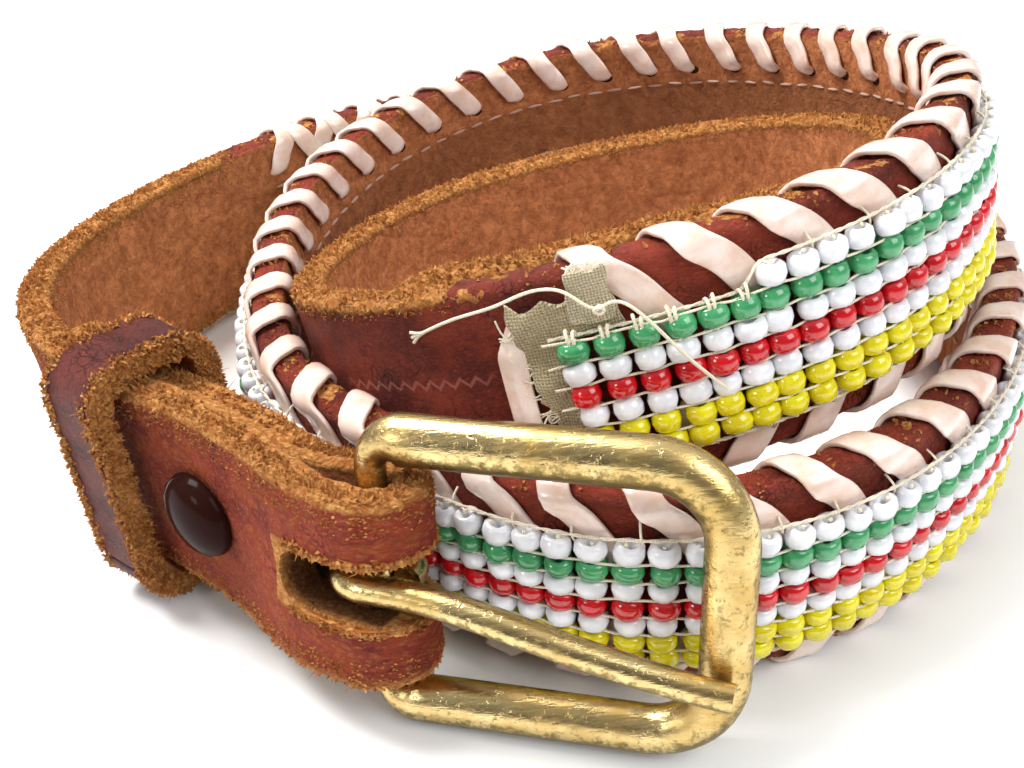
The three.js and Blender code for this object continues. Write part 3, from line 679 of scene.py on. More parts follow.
def roughen(piece, edgeBy, faceBy, half, thickHalf):        # worn edges stand out and fall back, faces ripple
    flat = corners(piece)
    kept = np.empty(len(flat) * 3, np.float32)
    piece.data.attributes["flat"].data.foreach_get("vector", kept)
    nominal = kept.reshape(-1, 3)
    normals = np.empty(len(flat) * 3, np.float32)
    piece.data.vertices.foreach_get("normal", normals)
    normals = normals.reshape(-1, 3)
    for i, place in enumerate(flat):
        spot = Vector(place)
        nearEdge = min(1, max(0, (abs(nominal[i][1]) - half + 1.6) / 1.4))
        coarse = noise.noise(spot * 0.35) + 0.6 * noise.noise(spot * 0.9) + 0.5 * noise.noise(spot * 2.1)
        slow = noise.noise(spot * 0.12)
        place += normals[i] * (coarse * edgeBy * nearEdge + slow * faceBy * (1 - nearEdge))
    setCorners(piece, flat)


strap = makeStrap()

print("crumbs and fibres on the cut edges")
fuzzShape = {"thin": (0.13, 0.26), "long": (0.22, 0.72), "bend": 1.1, "hair": 0.05, "hairs": 0.03, "hairLong": 2.0,
             "frontCount": 15000, "tipCount": 13000, "lacedCount": 2600, "slotCount": 1500, "keeperCount": 7000}


def fuzzPattern():        # one short bent fibre, thinned to its tip
    ready()
    bpy.ops.mesh.primitive_cone_add(vertices=3, radius1=1, radius2=0, depth=1, location=(0, 0, 0.5))
    fibre = newest("fuzzPattern")
    bpy.ops.object.mode_set(mode="EDIT")
    bpy.ops.mesh.select_all(action="SELECT")
    bpy.ops.mesh.bisect(plane_co=(0, 0, 0.45), plane_no=(0, 0, 1))
    bpy.ops.object.mode_set(mode="OBJECT")
    for vertex in fibre.data.vertices:
        height = vertex.co.z
        if 0.2 < height < 0.9:
            vertex.co.x *= 1.7
            vertex.co.y *= 1.7
        vertex.co.x += fuzzShape["bend"] * height * height
    return fibre


def leaning(direction, place, wide, long):
    turn = Vector((0, 0, 1)).rotation_difference(direction).to_matrix().to_4x4()
    spin = Matrix.Rotation(dice.uniform(0, 2 * math.pi), 4, "Z")
    return Matrix.Translation(place) @ turn @ spin @ Matrix.Diagonal((wide, wide, long, 1))


def fuzzSize():        # mostly crumbs, and now and then a long loose hair
    shape = fuzzShape
    if dice.random() < shape["hairs"]:
        return shape["hair"], dice.uniform(1, shape["hairLong"])
    return dice.uniform(*shape["thin"]), dice.uniform(*shape["long"])


def edgeSpot(x, side, spread):        # a place on a cut edge's rounded section, and the way out of it
    half = belt["width"] / 2 * float(widthShare(np.array([x]))[0])
    thickHalf = belt["thick"] / 2
    round = 1.25
    turn = dice.uniform(-spread, spread)
    if abs(turn) > 1:        # on the face or the flesh side, just in from the edge
        into = (abs(turn) - 1) ** 1.6 * 3
        return (x, side * (half - round - into), math.copysign(thickHalf - 0.02, turn)), (0, side * 0.25, math.copysign(1, turn))
    z = turn * thickHalf
    corner = max(0, (abs(z) - thickHalf + round) / round)
    y = half - round + round * math.sqrt(max(0, 1 - corner * corner))
    return (x, side * y, z * 0.99), (0, math.sqrt(max(0.05, 1 - corner * corner)), math.copysign(corner, z))


def clumped(x, side, scale=0.55):        # fibres gather in tufts
    return noise.noise(Vector((x * scale, side * 7, 3.1))) + 0.6 * noise.noise(Vector((x * scale * 3, side * 5, 1.7)))


def fuzzOn(name, ranges, count, spread, sparse):
    shape = fuzzShape
    places = []
    while len(places) < count:
        low, high = dice.choices(ranges, [high - low for low, high in ranges])[0]
        x = dice.uniform(low, high)
        side = dice.choice((1, -1))
        if clumped(x, side) < dice.uniform(-1, 0.5) * (1 - sparse) + sparse * dice.uniform(0.1, 0.7):
            continue
        spot, (_, out, lift) = edgeSpot(x, side, spread)
        if x < 42 and spot[2] < -0.8:        # the gap between the fold's two layers stays open
            continue
        way = Vector((dice.gauss(0, 0.6), side * out + dice.gauss(0, 0.45), lift + dice.gauss(0, 0.45)))
        wide, long = fuzzSize()
        finer = 1 if out > 0.3 else 0.55
        places.append(leaning(way.normalized(), Vector(spot), wide * finer, long * finer))
    pattern = fuzzPattern()
    fuzz = copies(pattern, places, name)
    discard(pattern)
    keepFlat(fuzz)
    attribute = fuzz.data.attributes["flat"]
    shown = corners(fuzz)
    shown[:, 1] = np.sign(shown[:, 1]) * 18        # past the edge, so that it has the cut edge's colours
    attribute.data.foreach_set("vector", shown.astype(np.float32).ravel())
    layOnCoil(fuzz)
    return dress(fuzz, "belt", strapLeather, smooth=80)


def slotFuzz():
    shape = strapShape
    places = []
    for _ in range(fuzzShape["slotCount"]):
        x = dice.uniform(-foldArc - shape["slotReach"] + 1, shape["slotReach"] - 1)
        side = dice.choice((1, -1))
        into = abs(dice.gauss(0, 0.5))
        spot = Vector((x, side * (shape["slotWidth"] / 2 + into - 0.1), belt["thick"] / 2 - (0.7 if into < 0.3 else 0)))
        way = Vector((dice.gauss(0, 0.6), -side * 0.7 + dice.gauss(0, 0.3), 0.6 + dice.gauss(0, 0.3)))
        wide, long = fuzzSize()
        places.append(leaning(way.normalized(), spot, wide, long * 0.8))
    pattern = fuzzPattern()
    fuzz = copies(pattern, places, "slotFuzz")
    discard(pattern)
    keepFlat(fuzz)
    shown = corners(fuzz)
    shown[:, 1] = np.sign(shown[:, 1]) * 18
    fuzz.data.attributes["flat"].data.foreach_set("vector", shown.astype(np.float32).ravel())
    layOnCoil(fuzz)
    dress(fuzz, "belt", strapLeather, smooth=80)


fuzzOn("frontFuzz", [(-foldArc - belt["flap"] + 1, 122)], fuzzShape["frontCount"], 1.9, 0)
fuzzOn("tipFuzz", [(700, belt["length"] - 6)], fuzzShape["tipCount"], 1.45, 0)
fuzzOn("lacedFuzz", [(122, 700)], fuzzShape["lacedCount"], 1.2, 1)
slotFuzz()

print("beads")
beadShape = {"start": 140, "end": 690.4, "rows": 7, "rowPitch": 2.45, "columnPitch": 3.2, "across": 3.2,
             "tall": 2.42, "deep": 3.05, "hole": 0.16, "lift": 1.62, "bareColumns": 6}
rowColours = ["white", "green", "white", "red", "white", "yellow", "yellow"]        # from the top


def beadPattern():
    shape = beadShape
    tube = (1 - shape["hole"]) / 4
    ready()
    bpy.ops.mesh.primitive_torus_add(major_segments=14, minor_segments=8, major_radius=0.5 - tube,
                                     minor_radius=tube, location=(0, 0, 0))
    bpy.context.object.rotation_euler = (math.pi / 2, 0, 0)
    bead = newest("beadPattern")
    tall = max(vertex.co.y for vertex in bead.data.vertices) * 2
    for vertex in bead.data.vertices:
        share = abs(vertex.co.y) / tall * 2
        vertex.co.y = math.copysign(share ** 0.9 * 0.5, vertex.co.y)
    return bead


def makeBeads():
    shape = beadShape
    bead = beadPattern()
    places = {colour: [] for colour in rowColours}
    columns = round((shape["end"] - shape["start"]) / shape["columnPitch"])
    for column in range(columns):
        x = shape["start"] + (column + 0.5) * shape["columnPitch"]
        sway = 0.18 * math.sin(column * 0.7) + dice.gauss(0, 0.07)
        for row, colour in enumerate(rowColours):
            if row == 0 and column >= columns - shape["bareColumns"]:
                continue
            y = (shape["rows"] / 2 - row - 0.5) * shape["rowPitch"] + dice.gauss(0, 0.06)
            centre = Vector((x + sway + dice.gauss(0, 0.1), y, belt["thick"] / 2 + shape["lift"] + dice.gauss(0, 0.1)))
            tilt = Matrix.Rotation(dice.gauss(0, 0.09), 4, "Z") @ Matrix.Rotation(dice.gauss(0, 0.09), 4, "X")
            size = Matrix.Diagonal((shape["across"] * dice.uniform(0.93, 1.05), shape["tall"] * dice.uniform(0.93, 1.03),
                                    shape["deep"] * dice.uniform(0.95, 1.05), 1))
            places[colour].append(Matrix.Translation(centre) @ tilt @ size)
    glass = {"white": whiteGlass, "green": greenGlass, "red": redGlass, "yellow": yellowGlass}
    for colour, material in glass.items():
        beads = copies(bead, places[colour], colour + "Beads")
        layOnCoil(beads)
        dress(beads, "belt", material, ["bead_band"], smooth=80)
    discard(bead)


makeBeads()

print("bead threads")
threadShape = {"warp": 0.14, "border": 0.13, "stitchPitch": 6.4, "nub": (0.5, 0.62, 0.5)}


def upperLine(x):        # over the bare columns the upper threads run along the second row
    ending = beadShape["end"] - beadShape["bareColumns"] * beadShape["columnPitch"]
    drop = np.clip((x - ending + 1) / 3, 0, 1)
    return beadShape["rows"] / 2 * beadShape["rowPitch"] - beadShape["rowPitch"] * drop * drop * (3 - 2 * drop)


def makeBeadThreads():
    shape = beadShape
    runs = []
    face = belt["thick"] / 2
    along = np.arange(shape["start"] - 2, shape["end"] + 2, 1.6)
    for row in range(1, shape["rows"]):
        y = (shape["rows"] / 2 - row) * shape["rowPitch"]
        depth = face + shape["lift"] + 0.5 + 0.16 * np.sin(along * 1.96 + row)
        runs.append(np.column_stack([along, y + 0.12 * np.sin(along * 0.9 + row * 2), depth]))
    warps = threads("warpThreads", runs, threadShape["warp"])
    layOnCoil(warps)
    dress(warps, "belt", creamThread)

    half = shape["rows"] / 2 * shape["rowPitch"] + 0.35
    fine = np.arange(shape["start"] - 1, shape["end"] + 1, 0.6)
    runs = []
    for side in (1, -1):
        line = (upperLine(fine) if side > 0 else half - 0.35) + 0.35
        for phase in (0, math.pi):        # two plies twist round each other
            turn = fine * 2.2 + phase
            runs.append(np.column_stack([fine, side * (line + 0.1 * np.cos(turn)), face + 1.5 + 0.1 * np.sin(turn)]))
        for x in np.arange(shape["start"], shape["end"] - side * 10 - 10, threadShape["stitchPitch"]):
            x += dice.gauss(0, 0.3)
            reach = dice.uniform(0.7, 1.4)
            runs.append(throughPoints([(x, side * (half - 0.9), face + 1.3), (x + 0.2, side * half, face + 1.5),
                                       (x + 0.4, side * (half + reach), face + 0.15)], 0.4))
    border = threads("borderThread", runs, threadShape["border"])
    layOnCoil(border)
    dress(border, "belt", creamThread)

    ready()        # a nub of thread shows between every two beads of a column
    bpy.ops.mesh.primitive_uv_sphere_add(segments=6, ring_count=4, radius=0.5)
    nub = newest("nubPattern")
    places = []
    columns = round((shape["end"] - shape["start"]) / shape["columnPitch"])
    for column in range(columns):
        x = shape["start"] + (column + 0.5) * shape["columnPitch"]
        for row in range(shape["rows"] + 1):
            y = (shape["rows"] / 2 - row) * shape["rowPitch"] if row else float(upperLine(np.array(x)))
            spot = Vector((x + dice.gauss(0, 0.15), y, face + shape["lift"] + dice.uniform(0.15, 0.6)))
            size = [part * dice.uniform(0.7, 1.25) for part in threadShape["nub"]]
            places.append(Matrix.Translation(spot) @ Matrix.Diagonal((*size, 1)))
    nubs = copies(nub, places, "threadNubs")
    discard(nub)
    layOnCoil(nubs)
    dress(nubs, "belt", creamThread, smooth=80)

    # paired loops come out of the green beads over the bare columns
    runs = []
    top = float(upperLine(np.array(shape["end"])))
    for column in range(shape["bareColumns"]):
        x = shape["end"] - (column + 0.5) * shape["columnPitch"] + dice.gauss(0, 0.15)
        for shift in (-0.28, 0.24):
            rise = dice.uniform(0.7, 1.3)
            runs.append(throughPoints([(x + shift, top - 0.7, face + 1.5), (x + shift * 0.9, top - 0.1, face + 2.6),
                                       (x + shift * 1.2, top + rise, face + 2.3), (x + shift * 1.4, top + rise * 0.6, face + 1.3),
                                       (x + shift, top - 0.2, face + 0.5)], 0.3))
    loops = threads("beadLoops", runs, 0.17)
    layOnCoil(loops)
    dress(loops, "belt", creamThread)


makeBeadThreads()

print("lacing")
laceShape = {"wide": 3.3, "thick": 0.62, "pitch": 8.5, "start": 130, "end": 693, "holeOut": 2.7, "holeIn": 5.2,
             "leanFace": 3, "leanEdge": 1.6, "stand": 0.42}


def lacePath():        # one wrap: out of its hole, up the face, over the edge and down the flesh side
    shape = laceShape
    edge = belt["width"] / 2
    half = belt["thick"] / 2
    stand = shape["stand"]
    over = shape["leanFace"] + shape["leanEdge"]
    return [(-4.2, edge - 8.4, half - 0.1), (-2.6, edge - 6.4, half + 0.1), (-0.9, edge - 3.7, half + 0.3),
            (1.0, edge - 1.6, half + stand), (2.3, edge - 0.5, half + stand - 0.05),
            (3.1, edge + stand, half - 0.75), (3.8, edge + stand + 0.1, 0), (over, edge + stand, -half + 0.75),
            (over + 0.7, edge - 0.6, -half - stand + 0.05), (over + 2, edge - 2.6, -half - stand - 0.1),
            (shape["pitch"] - 0.4, edge - shape["holeIn"] + 0.1, -half - stand + 0.1),
            (shape["pitch"], edge - shape["holeIn"] - 0.5, -half + 1.0)]


def lacePattern():
    shape = laceShape
    path = throughPoints(lacePath(), 0.75)
    ready()
    bpy.ops.mesh.primitive_grid_add(x_subdivisions=4, y_subdivisions=len(path) - 1, size=1)
    lace = newest("lacePattern")
    tangents = unit(np.gradient(path, axis=0))
    acrosses = unit(np.array([1.0, 0, 0]) - tangents * tangents[:, :1])
    places = corners(lace)
    steps = np.rint((places[:, 1] + 0.5) * (len(path) - 1)).astype(int)
    inner = np.clip((steps / len(path) - 0.6) / 0.3, 0, 1)[:, None]
    ends = 1 - 0.5 * np.clip((steps / len(path) - 0.9) / 0.1, 0, 1)[:, None]
    crown = (0.24 + 0.34 * inner) * (1 - (places[:, 0:1] * 2) ** 2)
    normals = np.cross(acrosses, tangents)
    places = path[steps] + acrosses[steps] * places[:, 0:1] * shape["wide"] * ends + normals[steps] * crown
    setCorners(lace, places)
    finishWith(lace, "SOLIDIFY", thickness=shape["thick"], offset=0)
    finishWith(lace, "BEVEL", width=0.2, segments=2, limit_method="ANGLE", angle_limit=math.radians(50))
    choose(lace)
    bpy.ops.object.mode_set(mode="EDIT")
    bpy.ops.mesh.select_all(action="SELECT")
    bpy.ops.mesh.normals_make_consistent(inside=False)
    bpy.ops.object.mode_set(mode="OBJECT")
    return lace


def makeLacing():
    shape = laceShape
    lace = lacePattern()
    wraps = int((shape["end"] - shape["start"]) / shape["pitch"])
    for side, name, node in ((1, "upperLacing", "edge_lacing_upper"), (-1, "lowerLacing", "edge_lacing_lower")):
        places = []
        for wrap in range(wraps):
            x = shape["start"] + wrap * shape["pitch"] + dice.gauss(0, 0.22)
            lean = Matrix.Rotation(dice.gauss(0, 0.015), 4, "Z")
            size = Matrix.Diagonal((dice.uniform(0.94, 1.05), 1, 1, 1))
            places.append(Matrix.Translation((x, 0, dice.uniform(-0.04, 0.06))) @ lean @ size)
        lacing = copies(lace, places, name)
        if side > 0:        # the first wraps are doubled, and cross each other
            places = [Matrix.Translation((shape["start"] + shape["pitch"] * (wrap + 0.9), 0, 0.35)) for wrap in range(3)]
            crossed = copies(lace, places, "crossedLaces")
            flat = corners(crossed)
            flat[:, 0] = 2 * (shape["start"] + shape["pitch"] * 1.9) - flat[:, 0]
            setCorners(crossed, flat)
            crossed.data.flip_normals()
            choose(lacing)
            crossed.select_set(True)
            bpy.ops.object.join()
        flat = corners(lacing)
        if side < 0:
            flat[:, 1] *= -1
            setCorners(lacing, flat)
            lacing.data.flip_normals()
        layOnCoil(lacing)
        dress(lacing, "belt", laceVinyl, [node], smooth=60)
    discard(lace)
    ready()        # flat dark discs on the flesh side where the laces go through, painted shade inside the holes
    bpy.ops.mesh.primitive_uv_sphere_add(segments=12, ring_count=6, radius=0.5)
    hole = newest("holeShadePattern")
    places = [Matrix.Translation((shape["start"] + (wrap + 1) * shape["pitch"] + 0.25,
                                  side * (belt["width"] / 2 - shape["holeIn"] - 0.55), -belt["thick"] / 2 + 0.02))
              @ Matrix.Diagonal((2.3, 1.5, 0.24, 1)) for wrap in range(wraps) for side in (1, -1)]
    holes = copies(hole, places, "laceHoleShade")
    discard(hole)
    layOnCoil(holes)
    dress(holes, "belt", holeShade, smooth=80)


makeLacing()

print("stitches on the flesh side")
stitchShape = {"long": 2.7, "pitch": 3.9, "wide": 0.46, "rows": (4.7, -4.3)}


def makeStitches():
    shape = stitchShape
    ready()
    bpy.ops.mesh.primitive_uv_sphere_add(segments=8, ring_count=6, radius=0.5)
    bpy.context.object.rotation_euler = (0, math.pi / 2, 0)
    stitch = newest("stitchPattern")
    places = []
    for y in shape["rows"]:
        for x in np.arange(laceShape["start"], laceShape["end"], shape["pitch"]):
            tilt = Matrix.Rotation(dice.gauss(0, 0.06), 4, "Z")
            centre = Vector((x + dice.gauss(0, 0.15), y + dice.gauss(0, 0.08), -belt["thick"] / 2 - 0.02))
            size = Matrix.Diagonal((shape["long"] * dice.uniform(0.85, 1.05), shape["wide"], 0.5, 1))
            places.append(Matrix.Translation(centre) @ tilt @ size)
    stitches = copies(stitch, places, "innerStitches")
    discard(stitch)
    layOnCoil(stitches)
    dress(stitches, "belt", stitchThread, smooth=80)


makeStitches()

print("bead ends")
endShape = {"clothReach": 4.2, "clothOver": 1.6, "cloth": 0.9, "crossingAt": 3.2, "tapeAt": (-6.2, -2.3),
            "tapeTall": 4.3, "tapeThick": 0.7}


def rag(name, low, high, back, thick, cells, fray):        # a small piece of cloth with ragged edges
    ready()
    size = (high[0] - low[0], high[1] - low[1])
    bpy.ops.mesh.primitive_grid_add(x_subdivisions=cells[0], y_subdivisions=cells[1], size=1,
                                    location=((low[0] + high[0]) / 2, (low[1] + high[1]) / 2, back + thick / 2))
    bpy.context.object.scale = (*size, 1)
    cloth = newest(name)
    places = corners(cloth)
    for place in places:
        spot = Vector(place)
        near = max(abs(place[0] - low[0] - size[0] / 2) / size[0] * 2, abs(place[1] - low[1] - size[1] / 2) / size[1] * 2)
        push = max(0, near - 0.75) * 4
        place[0] += noise.noise(spot * 0.9) * fray * push
        place[1] += noise.noise(spot * 0.9 + Vector((9, 4, 2))) * fray * push
        place[2] += noise.noise(spot * 0.35) * 0.5 * thick
    setCorners(cloth, places)
    finishWith(cloth, "SOLIDIFY", thickness=thick * 0.7, offset=0)
    finishWith(cloth, "SUBSURF", levels=1, render_levels=1)
    return cloth


def makeEnds():
    shape = endShape
    half = beadShape["rows"] * beadShape["rowPitch"] / 2
    face = belt["thick"] / 2
    end = beadShape["end"]
    canvas = rag("canvasEnd", (end - 6.5, -half), (end + shape["clothReach"], half + shape["clothOver"]), face + belt["gap"],
                 shape["cloth"], (24, 30), 1.2)
    places = corners(canvas)
    under = places[:, 1] < beadShape["rowPitch"] * 2.5
    places[:, 0] = np.where(under, np.maximum(places[:, 0], end - 1.5), places[:, 0])
    low = np.clip(0.5 - places[:, 1] / half / 2, 0, 1)
    places[:, 0] = np.where(places[:, 0] > end, end + (places[:, 0] - end) * (1 - 0.72 * low ** 1.5), places[:, 0])
    places[:, 2] += 0.35 * np.sin(places[:, 1] * 0.8 + places[:, 0] * 0.5) * (places[:, 0] > end)
    setCorners(canvas, places)
    layOnCoil(canvas)
    dress(canvas, "belt", canvasCloth, ["canvas_end"])
    tapeLow = (end + shape["tapeAt"][0], half - 1.2)
    tapeHigh = (end + shape["tapeAt"][1], half + shape["tapeTall"])
    tape = rag("tapeTab", tapeLow, tapeHigh, face + 1.2, shape["tapeThick"], (10, 10), 0.5)
    layOnCoil(tape)
    dress(tape, "belt", tapeCloth, ["tape_tab"])
    at = end + shape["crossingAt"] + 3 * belt["gap"]
    ready()
    bpy.ops.mesh.primitive_grid_add(x_subdivisions=4, y_subdivisions=30, size=1,
                                    location=(at + laceShape["wide"] / 2, 0, face + belt["gap"] + 0.3))
    bpy.context.object.scale = (laceShape["wide"], belt["width"], 1)
    crossing = newest("laceCrossing")
    places = corners(crossing)
    high = places[:, 1] / belt["width"] + 0.5
    middle = at + laceShape["wide"] / 2
    across = (places[:, 0] - middle) * (0.86 - 0.2 * np.clip(high - 0.85, 0, 1) / 0.15)
    places[:, 0] = middle + across - 1.3 * high ** 2 - 1.2 * np.clip(high - 0.85, 0, 1) / 0.15
    places[:, 1] = (high * 0.82 - 0.485) * belt["width"]
    places[:, 2] += 0.3 * (1 - (across / 1.4) ** 2) - 0.5 * np.clip(high - 0.85, 0, 1) / 0.15
    setCorners(crossing, places)
    finishWith(crossing, "SOLIDIFY", thickness=laceShape["thick"], offset=0)
    finishWith(crossing, "BEVEL", width=0.2, segments=2, limit_method="ANGLE")
    layOnCoil(crossing)
    dress(crossing, "belt", laceVinyl, ["lace_crossing"], smooth=60)

    # the cloth's frayed ends and a knotted loose thread
    runs = []
    for _ in range(34):
        y = dice.uniform(-half, half)
        x = end + shape["clothReach"] * (1 - 0.72 * (0.5 - y / half / 2) ** 1.5) - 0.5
        runs.append(throughPoints([(x, y, face + 0.8), (x + dice.uniform(0.3, 1), y + dice.gauss(0, 0.3), face + 0.9),
                                   (x + dice.uniform(0.8, 1.9), y + dice.gauss(0, 0.6), face + dice.uniform(0.5, 1.3))], 0.4))
    for _ in range(16):
        x = dice.uniform(tapeLow[0] + 0.4, tapeHigh[0] - 0.4)
        y = tapeHigh[1] - 0.3
        runs.append(throughPoints([(x, y, face + 1.5), (x + dice.gauss(0, 0.3), y + dice.uniform(0.3, 0.6), face + 1.5),
                                   (x + dice.gauss(0, 0.5), y + dice.uniform(0.5, 1.2), face + 1.3)], 0.3))
    frayed = threads("frayedEnds", runs, 0.1)
    layOnCoil(frayed)
    dress(frayed, "belt", creamThread)
    top = float(upperLine(np.array(end)))
    knot = (end - 4.9, top + 3.0, face + 2.6)
    runs = [throughPoints([(end + 13.6, top + 2.9, face + 0.4), (end + 9, top + 4.1, face + 0.6),
                           (end + 4.5, top + 4.8, face + 0.9), (end + 0.5, top + 5.8, face + 1.6),
                           (end - 2.4, top + 5.1, face + 2.1), knot, (end - 6.3, top + 3.4, face + 2.9),
                           (end - 8.4, top + 1.6, face + 3.3), (end - 11.2, top - 3.6, face + 3.6),
                           (end - 14.2, top - 8.6, face + 3.3)], 0.5)]
    turns = ((0.3, -0.1, 0), (-0.3, 0.5, 0.4), (-0.8, -0.3, 0.5), (0, -0.9, 0.3), (0.5, 0, 0.6), (-0.5, 0.2, 0.7))
    runs.append(throughPoints([tuple(np.add(knot, np.multiply(turn, 0.6))) for turn in turns * 2], 0.2))
    for turn in (-0.5, 0.1, 0.7):
        runs.append(throughPoints([(end + 13.5, top + 2.9, face + 0.4), (end + 14.3, top + 2.7 + turn * 0.3, face + 0.4),
                                   (end + 15.1, top + 2.4 + turn, face + 0.45)], 0.3))
    loose = threads("looseThread", runs, 0.18, 2)
    layOnCoil(loose)
    dress(loose, "belt", creamThread)


makeEnds()

print("keeper")
keeperShape = {"at": 37.5, "wide": 9, "thick": 2.8, "slack": 1.8, "corner": 4.6, "cells": (14, 150)}


def keeperLoopPlace(share, depth):        # round the loop: share 0 to 1 of its middle line, depth outwards
    shape = keeperShape
    half = shape["thick"] / 2
    back = -(layerStep + belt["thick"] / 2 + 2 * belt["gap"]) - half
    front = belt["thick"] / 2 + shape["slack"] + half
    side = belt["width"] / 2 + 2 * belt["gap"] + half
    corner = shape["corner"] - half + 0.6
    runs = [(2 * (side - corner)), math.pi / 2 * corner, front - back - 2 * corner, math.pi / 2 * corner]
    runs = runs + runs
    at = share * sum(runs)
    centres = [(-side + corner, front), (side - corner, front - corner), (side, front - corner), (side - corner, back + corner),
               (side - corner, back), (corner - side, back + corner), (-side, back + corner), (corner - side, front - corner)]
    for i, run in enumerate(runs):
        if at <= run or i == 7:
            break
        at -= run
    y, z = centres[i]
    if i % 2:
        turn = math.pi / 2 - i // 2 * math.pi / 2 - at / corner
        out = (math.cos(turn), math.sin(turn))
        return y + out[0] * (corner + depth), z + out[1] * (corner + depth)
    way = ((1, 0), (0, -1), (-1, 0), (0, 1))[i // 2]
    out = ((0, 1), (1, 0), (0, -1), (-1, 0))[i // 2]
    return y + way[0] * at + out[0] * depth, z + way[1] * at + out[1] * depth


def makeKeeper():
    shape = keeperShape
    cells = shape["cells"]
    length = 100.0
    ready()
    bpy.ops.mesh.primitive_grid_add(x_subdivisions=cells[1], y_subdivisions=cells[0], size=1,
                                    location=(0, 0, -shape["thick"] / 2))
    bpy.context.object.scale = (length, shape["wide"], 1)
    keeper = newest("keeperLoop")
    bpy.ops.object.mode_set(mode="EDIT")
    bpy.ops.mesh.select_all(action="SELECT")
    bpy.ops.mesh.extrude_region_move(TRANSFORM_OT_translate={"value": (0, 0, shape["thick"])})
    bpy.ops.mesh.select_all(action="SELECT")
    bpy.ops.mesh.normals_make_consistent(inside=False)
    bpy.ops.object.mode_set(mode="OBJECT")
    finishWith(keeper, "BEVEL", width=0.8, segments=3, limit_method="ANGLE")
    keepFlat(keeper)
    roughen(keeper, 0.3, 0.12, shape["wide"] / 2, shape["thick"] / 2)
    middle, along, up, out = (part[0] for part in sectionAt(np.array([float(shape["at"])])))
    places = corners(keeper)
    for place in places:
        y, z = keeperLoopPlace(min(1, max(0, place[0] / length + 0.5)), place[2])
        place[:] = (middle + along * place[1] + up * y + out * z + coilShift) / 1000
    setCorners(keeper, places)
    choose(keeper)
    bpy.ops.object.mode_set(mode="EDIT")
    bpy.ops.mesh.select_all(action="SELECT")
    bpy.ops.mesh.remove_doubles(threshold=0.00012)
    bpy.ops.mesh.normals_make_consistent(inside=False)
    bpy.ops.object.mode_set(mode="OBJECT")
    dress(keeper, "belt", keeperLeather, ["keeper_loop"], smooth=60)
    spots = []
    for _ in range(fuzzShape["keeperCount"]):
        share = dice.random()
        side = dice.choice((1, -1))
        depth = dice.uniform(-0.5, 0.5) * shape["thick"] * 1.0
        into = 0 if dice.random() < 0.75 else abs(dice.gauss(0, 0.8))
        y, z = keeperLoopPlace(share, depth if into == 0 else shape["thick"] / 2)
        ahead = keeperLoopPlace(share, depth + 1 if into == 0 else shape["thick"] / 2 + 1)
        outY, outZ = ahead[0] - y, ahead[1] - z
        place = middle + along * side * (shape["wide"] / 2 - 0.1 - into) + up * y + out * z + coilShift
        rise = 0.9 if into else depth / shape["thick"] * 1.4
        way = along * side * (0.3 if into else 1) + (up * outY + out * outZ) * rise
        way = way + np.array([dice.gauss(0, 0.4) for _ in range(3)])
        wide, long = fuzzSize()
        spots.append(Matrix.Scale(0.001, 4) @ leaning(Vector(way).normalized(), Vector(place), wide, long))
    pattern = fuzzPattern()
    fuzz = copies(pattern, spots, "keeperFuzz")
    discard(pattern)
    shown = corners(fuzz) * 1000
    shown[:, 1] = 18
    fuzz.data.attributes.new("flat", "FLOAT_VECTOR", "POINT")
    fuzz.data.attributes["flat"].data.foreach_set("vector", shown.astype(np.float32).ravel())
    dress(fuzz, "belt", keeperLeather, smooth=80)


makeKeeper()

print("snap")
snapShape = {"at": 24, "radius": 5.2, "height": 2.9, "post": 1.6, "flange": 4.4, "flangeThick": 0.9}


def atSection(piece, length):        # from a piece's own X, Y and Z to along, up and out of the strap there
    middle, along, up, out = (part[0] for part in sectionAt(np.array([float(length)])))
    places = corners(piece)
    setCorners(piece, (middle + places @ np.array([along, up, out]) + coilShift) / 1000)
    piece.data.flip_normals()


def makeSnap():
    shape = snapShape
    base = belt["thick"] / 2 + belt["gap"]
    ready()
    bpy.ops.mesh.primitive_cylinder_add(vertices=48, radius=shape["radius"], depth=0.5, location=(0, 0, base + 0.25))
    cap = newest("snapStud")
    bpy.ops.object.mode_set(mode="EDIT")
    bpy.ops.mesh.select_mode(type="FACE")
    bpy.ops.mesh.select_all(action="DESELECT")
    bpy.ops.object.mode_set(mode="OBJECT")
    for face in cap.data.polygons:
        face.select = face.normal.z > 0.9
    bpy.ops.object.mode_set(mode="EDIT")
    risen = 0.5
    radius = shape["radius"]
    for angle in (22, 40, 56, 70, 82):
        turn = math.radians(angle)
        newRadius = shape["radius"] * math.cos(turn)
        rise = 0.5 + (shape["height"] - 0.5) * math.sin(turn) - risen
        bpy.ops.mesh.extrude_region_move(TRANSFORM_OT_translate={"value": (0, 0, rise)})
        bpy.ops.transform.resize(value=(newRadius / radius, newRadius / radius, 1))
        risen += rise
        radius = newRadius
    bpy.ops.object.mode_set(mode="OBJECT")
    finishWith(cap, "BEVEL", width=0.22, segments=3, limit_method="ANGLE", angle_limit=math.radians(50))
    flangeFace = -(layerStep + belt["thick"] / 2 + belt["gap"])
    rest = []
    for radius, low, high in ((shape["post"], flangeFace, base), (shape["flange"], flangeFace - shape["flangeThick"], flangeFace)):
        ready()
        bpy.ops.mesh.primitive_cylinder_add(vertices=32, radius=radius, depth=high - low, location=(0, 0, (low + high) / 2))
        rest.append(newest("snapRest"))
    finishWith(rest[1], "BEVEL", width=0.3, segments=2, limit_method="ANGLE")
    choose(cap)
    for piece in rest:
        piece.select_set(True)
    bpy.ops.object.join()
    atSection(cap, shape["at"])
    dress(cap, "belt", lacquer, ["snap_stud"], smooth=50)


makeSnap()

